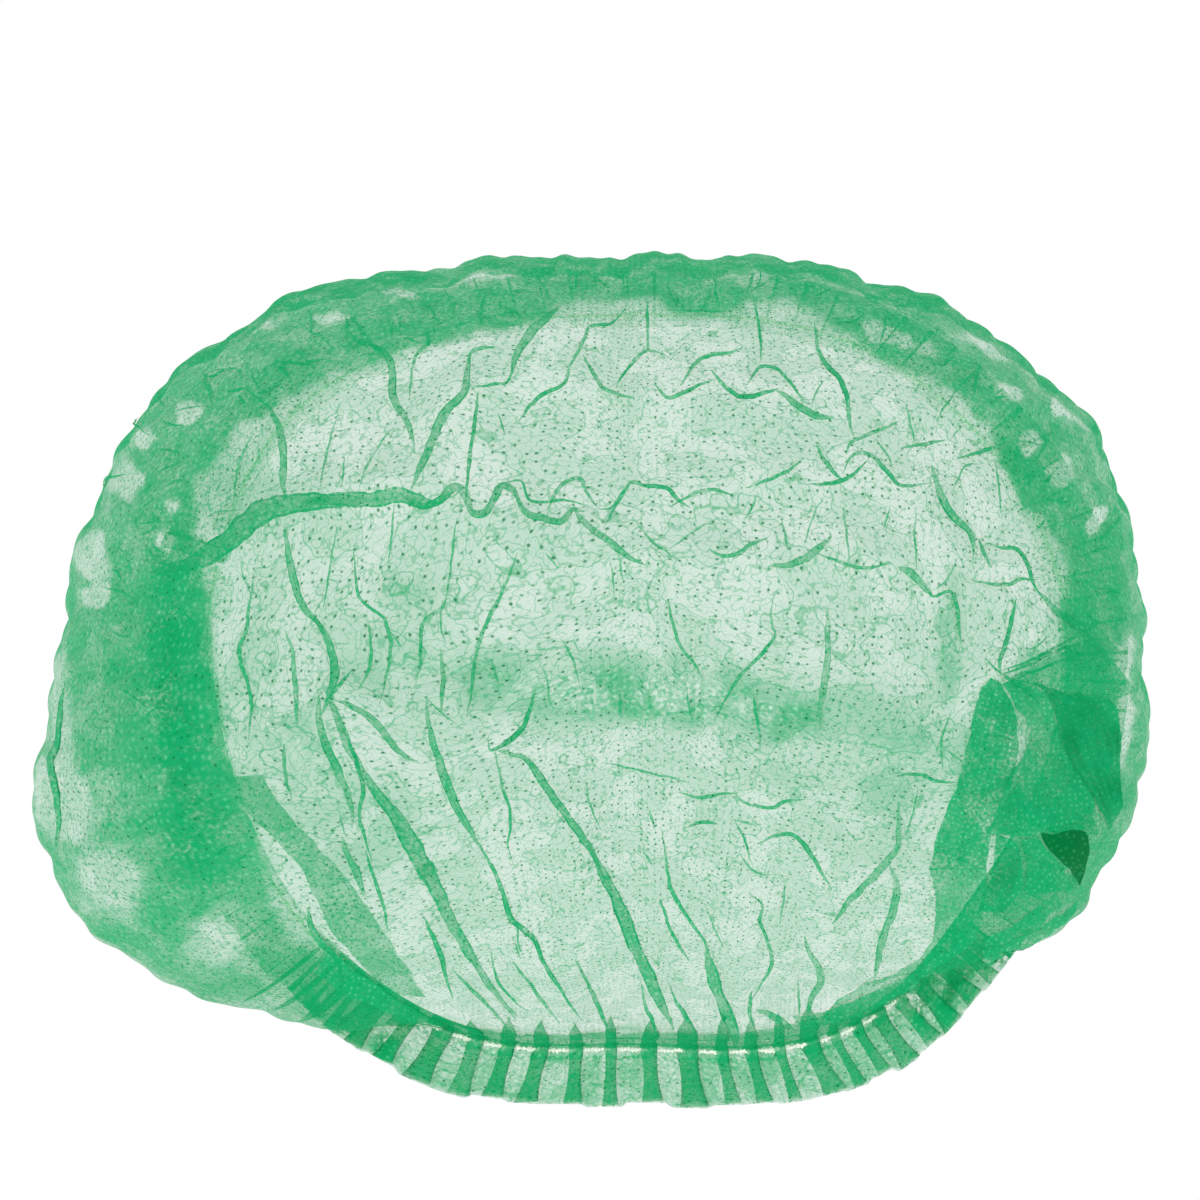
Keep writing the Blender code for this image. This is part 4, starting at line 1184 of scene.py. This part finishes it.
def bumped(tree, height, strength, distance):
    """Normal of a relief."""
    sockets = {"Strength": strength, "Distance": distance, "Height": height}
    return node(tree, "ShaderNodeBump", sockets).outputs["Normal"]


def new_group(name, kind, inputs, outputs):
    """New node group, its inputs and its outputs: each one's name, type, default and subtype."""
    tree = bpy.data.node_groups.new(name, kind)
    for way, sockets in (("INPUT", inputs), ("OUTPUT", outputs)):
        for label, socket_kind, *rest in sockets:
            socket = tree.interface.new_socket(label, in_out=way, socket_type="NodeSocket" + socket_kind)
            for attribute, value in zip(("default_value", "subtype"), rest):
                setattr(socket, attribute, value)
    return tree, node(tree, "NodeGroupInput").outputs, node(tree, "NodeGroupOutput").inputs


def web_group():
    """Node group of a bonded fibre web: how far it covers, its dark specks with a painted shade where it
    lies thick, its bond dots with painted light showing through them, and its relief.
    """
    old = bpy.data.node_groups.get("bonded_web")
    if old:
        return old
    sizes = (("Density", 1.0), ("Clear Share", 0.5), ("Bond Pitch", 0.0016), ("Fibre Spacing", 0.0019),
             ("Blotch Size", 0.011))
    inputs = [("Place", "Vector")] + [(name, "Float", value) for name, value in sizes]
    outputs = [(name, "Float") for name in ("Alpha", "Shade", "Pale", "Height")]
    tree, source, result = new_group("bonded_web", "ShaderNodeTree", inputs, outputs)
    times, plus, less, over, most = (
        partial(math_node, tree, name) for name in ("MULTIPLY", "ADD", "SUBTRACT", "DIVIDE", "MAXIMUM")
    )
    shaped = partial(ramp, tree)
    place, density = source["Place"], source["Density"]

    # Bond points: some are dark specks, the rest are clear dots where the cloth lies in layers
    sockets = {"Vector": place, "Scale": over(1.0, source["Bond Pitch"]), "Randomness": 0.5}
    bonds = node(tree, "ShaderNodeTexVoronoi", sockets, feature="F1", voronoi_dimensions="2D").outputs
    parts = node(tree, "ShaderNodeSeparateColor", {"Color": bonds["Color"]}).outputs
    several = shaped(density, 1.3, 3.0)
    strength = shaped(parts[1], 0.0, 1.0, 0.35, 1.0)
    is_dot = times(math_node(tree, "LESS_THAN", parts[0], 0.70), shaped(density, 1.4, 2.1))
    dot = times(times(shaped(bonds["Distance"], 0.10, 0.34, 0.80, 0.0), is_dot), strength)
    is_speck = math_node(tree, "GREATER_THAN", parts[0], 0.40)
    speck = times(shaped(bonds["Distance"], 0.06, 0.21, 1.0, 0.0), is_speck)
    speck = times(times(speck, strength), less(1.0, is_dot))

    # Loose fibres in two sizes, faint pressed lines, and thicker and thinner areas
    coarse = flat_noise(tree, place, over(1.0, source["Fibre Spacing"]), 1.0)
    fine = flat_noise(tree, place, over(1.8, source["Fibre Spacing"]), 0.0)
    strands = plus(times(ridge(tree, coarse, 0.055), 0.85), times(ridge(tree, fine, 0.055), 0.50))
    cloud = flat_noise(tree, place, over(1.0, source["Blotch Size"]), 2.0)
    swing = times(shaped(cloud, 0.36, 0.64, -0.22, 0.22), plus(several, 1.0))
    swing = plus(swing, times(shaped(fine, 0.28, 0.72, -0.34, 0.34), several))

    # Depth of the web in layers, from its parts, and the light that it stops
    thin = math_node(tree, "MINIMUM", density, 1.0)
    body = plus(times(density, 0.35), 0.65)
    depth = times(less(density, times(thin, 0.38)), plus(swing, 1.0))
    for part, weight in ((strands, body), (ridge(tree, cloud, 0.012), body), (speck, 2.6)):
        depth = plus(depth, times(part, weight))
    depth = times(depth, less(1.0, times(dot, 0.30)))
    depth = times(most(depth, plus(times(several, 0.85), 0.03)), thin)
    clear = math_node(tree, "POWER", source["Clear Share"], depth)
    for name, value in (
        ("Alpha", less(1.0, clear, clamp=True)),
        # Dark specks of the web, and a painted shade that darkens the colour where many layers lie together
        ("Shade", most(speck, shaped(density, 2.3, 6.8), clamp=True)),
        # Bond dots in thick cloth: their paler colour is painted light that stands in for light showing
        # through them
        ("Pale", times(dot, shaped(density, 2.8, 4.2, 1.1, 0.25))),
        ("Height", shaped(bonds["Distance"], 0.05, 0.42)),
    ):
        tree.links.new(value, result[name])
    return tree


def mixed(tree, factor, first, second):
    """Colour between two colours, by a factor."""
    sockets = {"A": first, "B": second, "Factor": factor}
    return node(tree, "ShaderNodeMix", sockets, data_type="RGBA").outputs["Result"]


def cloth_nodes(tree, look, green, sockets):
    """Makes a material's shader a bonded web of a green, with the web's own sockets, glowing in its own
    colour with painted light.
    """
    sizes = {
        "Clear Share": look.clear_share,
        "Bond Pitch": look.bond_pitch,
        "Fibre Spacing": look.fibre_spacing,
        "Blotch Size": look.blotch_size,
    }
    web = node(tree, "ShaderNodeGroup", {**sizes, **sockets}, node_tree=web_group()).outputs
    red, leaf, blue = green
    # Dark green of the specks, and painted shade where the cloth lies in many layers
    colour = mixed(tree, web["Shade"], (red, leaf, blue, 1.0), (0.0, leaf * 0.42, blue * 0.27, 1.0))
    # Painted light: a paler green in the bond dots of thick cloth, for the light that shows through them
    colour = mixed(tree, web["Pale"], colour, (red + 0.07, leaf * 1.45, blue * 1.75, 1.0))
    # The colour also glows: painted light that stands in for light passing through the cloth, so that
    # layers lying in shade stay bright green
    fed(tree, tree.nodes["Principled BSDF"], {
        "Base Color": colour,
        "Emission Color": colour,
        "Emission Strength": 0.42,
        "Alpha": web["Alpha"],
        "Roughness": ramp(tree, web["Height"], 0.0, 1.0, 0.48, 0.74),
        "Specular IOR Level": 0.05,
        "Normal": bumped(tree, web["Height"], 0.30, 0.0002),
    })


def single_cloth(tree, look):
    """Green non-woven cloth that is seen through according to its layers."""
    place = node(tree, "ShaderNodeUVMap", uv_map="cloth_map").outputs["UV"]
    density = node(tree, "ShaderNodeAttribute", attribute_name="cloth_density").outputs["Fac"]
    cloth_nodes(tree, look, look.green, {"Place": place, "Density": density})


def pressed_cloth(tree, look):
    """The same cloth pressed and melted together in several layers."""
    place = node(tree, "ShaderNodeTexCoord").outputs["Object"]
    deep = [part * 0.95 for part in look.green]
    cloth_nodes(tree, look, deep, {"Place": place, "Density": 1.3, "Bond Pitch": 0.0010})


def white_thread(tree, look):
    """White elastic thread, rough, with painted shade in its hollows and a glow of painted light."""
    place = node(tree, "ShaderNodeTexCoord").outputs["Object"]
    sockets = {"Vector": place, "Scale": 2600.0, "Detail": 2.0}
    strands = node(tree, "ShaderNodeTexNoise", sockets).outputs["Fac"]
    # Painted shade: the thread's colour darkens where its relief is low, in its hollows
    hollow_shade = (*[part * 0.62 for part in look.thread_white], 1.0)
    colour = mixed(tree, ramp(tree, strands, 0.35, 0.60), hollow_shade, (*look.thread_white, 1.0))
    # The thread also glows: painted light that keeps it white where it lies in shade under the cloth
    fed(tree, tree.nodes["Principled BSDF"], {
        "Base Color": colour,
        "Emission Color": colour,
        "Emission Strength": 0.50,
        "Roughness": 0.7,
        "Normal": bumped(tree, strands, 0.4, 0.0001),
    })


def material_of(name, fill, look):
    """Material of a name, filled with its nodes by a function where it isn't there yet."""
    material = bpy.data.materials.get(name)
    if material is None:
        material = bpy.data.materials.new(name)
        material.use_nodes = True
        fill(material.node_tree, look)
    return material


def thread_tree():
    """Geometry node tree that makes a thread of knotted lumps along a path of edges."""
    old = bpy.data.node_groups.get("knotted_thread")
    if old:
        return old
    sizes = (("Core Radius", 0.0003), ("Lump Radius", 0.0005), ("Lump Spacing", 0.0008), ("Sway", 0.0002))
    inputs = [("Path", "Geometry"), *((name, "Float", value, "DISTANCE") for name, value in sizes)]
    inputs += [("Seed", "Int", 3), ("Material", "Material")]
    tree, source, result = new_group("knotted_thread", "GeometryNodeTree", inputs, [("Thread", "Geometry")])

    def made(kind, output, sockets, **values):
        return node(tree, kind, sockets, **values).outputs[output]

    curve = made("GeometryNodeMeshToCurve", "Curve", {"Mesh": source["Path"]})
    round_core = {"Resolution": 6, "Radius": source["Core Radius"]}
    ring = made("GeometryNodeCurvePrimitiveCircle", "Curve", round_core)
    swept = {"Curve": curve, "Profile Curve": ring, "Fill Caps": True}
    core = made("GeometryNodeCurveToMesh", "Mesh", swept)
    spaced = {"Curve": curve, "Length": source["Lump Spacing"]}
    spots = node(tree, "GeometryNodeCurveToPoints", spaced, mode="LENGTH").outputs
    shift, size = (
        made("FunctionNodeRandomValue", "Value", {"Min": low, "Max": high, "Seed": source["Seed"]},
             data_type="FLOAT_VECTOR")
        for low, high in (((-1.0, -1.0, -1.0), (1.0, 1.0, 1.0)), ((0.6, 0.4, 0.5), (1.3, 1.1, 1.1)))
    )
    swing = {"Vector": shift, "Scale": source["Sway"]}
    reach = made("ShaderNodeVectorMath", "Vector", swing, operation="SCALE")
    swayed = made("GeometryNodeSetPosition", "Geometry", {"Geometry": spots["Points"], "Offset": reach})
    lump = made("GeometryNodeMeshIcoSphere", "Mesh", {"Subdivisions": 2, "Radius": source["Lump Radius"]})
    strewn = made("GeometryNodeInstanceOnPoints", "Instances",
                  {"Points": swayed, "Instance": lump, "Rotation": spots["Rotation"], "Scale": size})
    both = node(tree, "GeometryNodeJoinGeometry", {"Geometry": core})
    tree.links.new(strewn, both.inputs["Geometry"])
    real = made("GeometryNodeRealizeInstances", "Geometry", {"Geometry": both.outputs["Geometry"]})
    finish = made("GeometryNodeSetMaterial", "Geometry", {"Geometry": real, "Material": source["Material"]})
    tree.links.new(finish, result["Thread"])
    return tree


def thread_along(name, path, values):
    """Plain mesh object of the knotted thread along a path, from the geometry nodes."""
    guide_mesh = bpy.data.meshes.new(name + "_path")
    guide_mesh.from_pydata(path.tolist(), [(start, start + 1) for start in range(len(path) - 1)], [])
    guide = linked(name + "_path", guide_mesh)
    tree = thread_tree()
    modifier = guide.modifiers.new("thread", "NODES")
    modifier.node_group = tree
    for item in tree.interface.items_tree:
        if item.item_type == "SOCKET" and item.in_out == "INPUT" and item.name in values:
            modifier[item.identifier] = values[item.name]
    evaluated = guide.evaluated_get(bpy.context.evaluated_depsgraph_get())
    mesh = bpy.data.meshes.new_from_object(evaluated)
    guide.modifiers.clear()
    bpy.data.objects.remove(guide)
    bpy.data.meshes.remove(guide_mesh)
    mesh.name = name
    mesh.shade_smooth()
    return linked(name, mesh)


def settings(context):
    """The cap's sizes, its cloth and the stage."""
    return context.scene.cap_form, context.scene.cap_cloth, context.scene.cap_stage


def halves(form, gap):
    """Front and back of the edge, with the azimuths between which each runs, a gap off the welds."""
    turn = math.degrees(gap / form.opening_radius)
    ends = (form.left_weld, form.right_weld, form.left_weld + 360.0)
    return (("front", ends[0] + turn, ends[1] - turn), ("back", ends[1] + turn, ends[2] - turn))


def aimed(made, place, target):
    """Puts an object at a place, its -Z towards a target."""
    made.location = Vector(place)
    made.rotation_euler = (Vector(target) - Vector(place)).to_track_quat("-Z", "Y").to_euler()


class CAP_OT_stage(bpy.types.Operator):
    """Sets up the floor, the soft studio light and the camera"""

    bl_idname = "crimped_cap.stage"
    bl_label = "Stage"

    def execute(self, context):
        stage = context.scene.cap_stage
        half = stage.floor_side / 2.0
        corners = [(-half, -half, 0.0), (half, -half, 0.0), (half, half, 0.0), (-half, half, 0.0)]
        mesh = bpy.data.meshes.new("floor")
        mesh.from_pydata(corners, [], [(0, 1, 2, 3)])
        paper = bpy.data.materials.new("pale_floor")
        paper.use_nodes = True
        fed(paper.node_tree, paper.node_tree.nodes["Principled BSDF"], {
            "Base Color": (0.0, 0.0, 0.0, 1.0),
            "Roughness": 0.9,
            "Specular IOR Level": 0.0,
            "Emission Color": (1.0, 1.0, 1.0, 1.0),
            "Emission Strength": 1.0,
        })
        mesh.materials.append(paper)
        linked("floor", mesh)
        sight = sight_of(stage)
        for name, place, power, side in (
            ("key", (-1.1, -0.9, 1.9), 20.0, 1.4),
            ("fill", (1.5, -0.4, 1.5), 9.0, 1.6),
        ):
            lamp = bpy.data.lights.new(name, "AREA")
            lamp.energy = power
            lamp.size = side
            aimed(linked(name, lamp), place, sight.target)
        scene = context.scene
        scene.world = bpy.data.worlds.new("studio")
        scene.world.use_nodes = True
        air = scene.world.node_tree
        fed(air, air.nodes["Background"], {"Color": (1.0, 1.0, 1.0, 1.0), "Strength": 0.36})
        scene.cycles.transparent_max_bounces = 24
        scene.cycles.diffuse_bounces = 2
        scene.view_settings.view_transform = "Standard"
        lens = bpy.data.cameras.new("camera")
        lens.sensor_width = 36.0
        lens.lens = lens.sensor_width * stage.camera_distance / stage.frame_width
        lens.clip_end = 50.0
        scene.camera = linked("camera", lens)
        aimed(scene.camera, sight.eye, sight.target)
        return {"FINISHED"}


class CAP_OT_crown(bpy.types.Operator):
    """Builds the puffed crown with its folds and creases"""

    bl_idname = "crimped_cap.crown"
    bl_label = "Crown"

    def execute(self, context):
        form, look, stage = settings(context)
        cloth = material_of("green_nonwoven_cloth", single_cloth, look)
        parts = [crown_top_points(form, look, stage)]
        side = crown_side(form, look, stage)
        trees = [BVHTree.FromPolygons(sheet[0].tolist(), sheet[1].tolist()) for sheet in (parts[0], side)]
        creases = [Crease(*row) for row in CREASES]
        creases += [Crease(FINE_BREADTH, FINE_LAYERS, run) for run in FINE_CREASES]
        laid = [(crease_strip, crease) for crease in creases] + [(flap_sheet, flap) for flap in FLAPS]
        laid += [(crease_strip, crease) for crease in ring_creases(form.seed + 90)]
        for number, (make, fold) in enumerate(laid):
            lift = form.crease_lift + LIFT_STEP * (number % LIFT_LEVELS)
            parts.append(make(stage, trees, fold, form.seed + number, lift))
        points, faces, maps, layers = zip(*parts)
        starts = np.cumsum([0, *(len(places) for places in points)])
        faces = np.vstack([corners + start for corners, start in zip(faces, starts)])
        top = (np.vstack(points), faces, np.vstack(maps), np.concatenate(layers))
        for name, sheet, flat in (("crown_top", top, TOP_FLAT), ("crown_side", side, SIDE_FLAT)):
            piece = sheet_object(name, *sheet, cloth)
            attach(piece, "root")
            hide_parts("crown")
        return {"FINISHED"}


class CAP_OT_ruffles(bpy.types.Operator):
    """Builds the two halves of the pleated edge"""

    bl_idname = "crimped_cap.ruffles"
    bl_label = "Ruffles"

    def execute(self, context):
        form, look, stage = settings(context)
        cloth = material_of("green_nonwoven_cloth", single_cloth, look)
        columns = pleat_columns(form, stage)
        generator = np.random.default_rng(form.seed + 20)
        waves = generator.uniform(-1.0, 1.0, columns[1].max() + 1)[columns[1]]
        for half, start, end in halves(form, EDGE_GAP):
            keep = (columns[0] > start) & (columns[0] < end)
            sheet = edge_sheet(form, look, stage, tuple(item[keep] for item in columns), waves[keep])
            piece = sheet_object(half + "_edge", *sheet, cloth)
            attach(piece, "root")
            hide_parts(half + "_ruffle")
        return {"FINISHED"}


class CAP_OT_elastics(bpy.types.Operator):
    """Lays the white elastic threads round the opening"""

    bl_idname = "crimped_cap.elastics"
    bl_label = "Elastics"

    def execute(self, context):
        form, look, _ = settings(context)
        values = {
            "Core Radius": form.elastic_diameter * 0.30,
            "Lump Radius": form.elastic_diameter * 0.60,
            "Lump Spacing": form.elastic_diameter * 0.90,
            "Sway": form.elastic_diameter * 0.16,
            "Seed": form.seed,
            "Material": material_of("white_elastic_thread", white_thread, look),
        }
        for half, start, end in halves(form, THREAD_GAP):
            azimuth = np.linspace(start, end, THREAD_PLACES)
            level = np.full(len(azimuth), form.elastic_level)
            path = in_plan(azimuth, elastic_radius(form, azimuth), level)
            path[:, :2] *= (1.0 + 0.0012 * noise_at(path, 0.004, form.seed + 30))[:, None]
            piece = thread_along(half + "_thread", path + OPENING_MIDDLE, values)
            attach(piece, "root")
            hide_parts(half + "_elastic")
        return {"FINISHED"}


class CAP_OT_welds(bpy.types.Operator):
    """Finishes the pressed seams at the two ends"""

    bl_idname = "crimped_cap.welds"
    bl_label = "Welds"

    def execute(self, context):
        pressed = material_of("pressed_nonwoven_cloth", pressed_cloth, context.scene.cap_cloth)
        for name in ("left_end_weld", "right_end_weld"):
            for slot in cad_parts[name].material_slots:
                slot.material = pressed
        return {"FINISHED"}


OPERATORS = (CAP_OT_stage, CAP_OT_crown, CAP_OT_ruffles, CAP_OT_elastics, CAP_OT_welds)


class CAP_PT_build(bpy.types.Panel):
    """Lists the cap's pieces and the stage"""

    bl_idname = "CAP_PT_build"
    bl_label = "Crimped cap"
    bl_space_type = "VIEW_3D"
    bl_region_type = "UI"
    bl_category = "Crimped Cap"

    def draw(self, context):
        for operator in OPERATORS:
            self.layout.operator(operator.bl_idname)


CLASSES = (CapForm, ClothLook, StageForm, *OPERATORS, CAP_PT_build)


def register():
    for item in CLASSES:
        bpy.utils.register_class(item)
    bpy.types.Scene.cap_form = PointerProperty(type=CapForm)
    bpy.types.Scene.cap_cloth = PointerProperty(type=ClothLook)
    bpy.types.Scene.cap_stage = PointerProperty(type=StageForm)


def unregister():
    del bpy.types.Scene.cap_stage
    del bpy.types.Scene.cap_cloth
    del bpy.types.Scene.cap_form
    for item in reversed(CLASSES):
        bpy.utils.unregister_class(item)


def main():
    register()
    bpy.ops.crimped_cap.stage()
    bpy.ops.crimped_cap.crown()
    bpy.ops.crimped_cap.ruffles()
    bpy.ops.crimped_cap.elastics()
    bpy.ops.crimped_cap.welds()


if __name__ == "__main__":
    main()
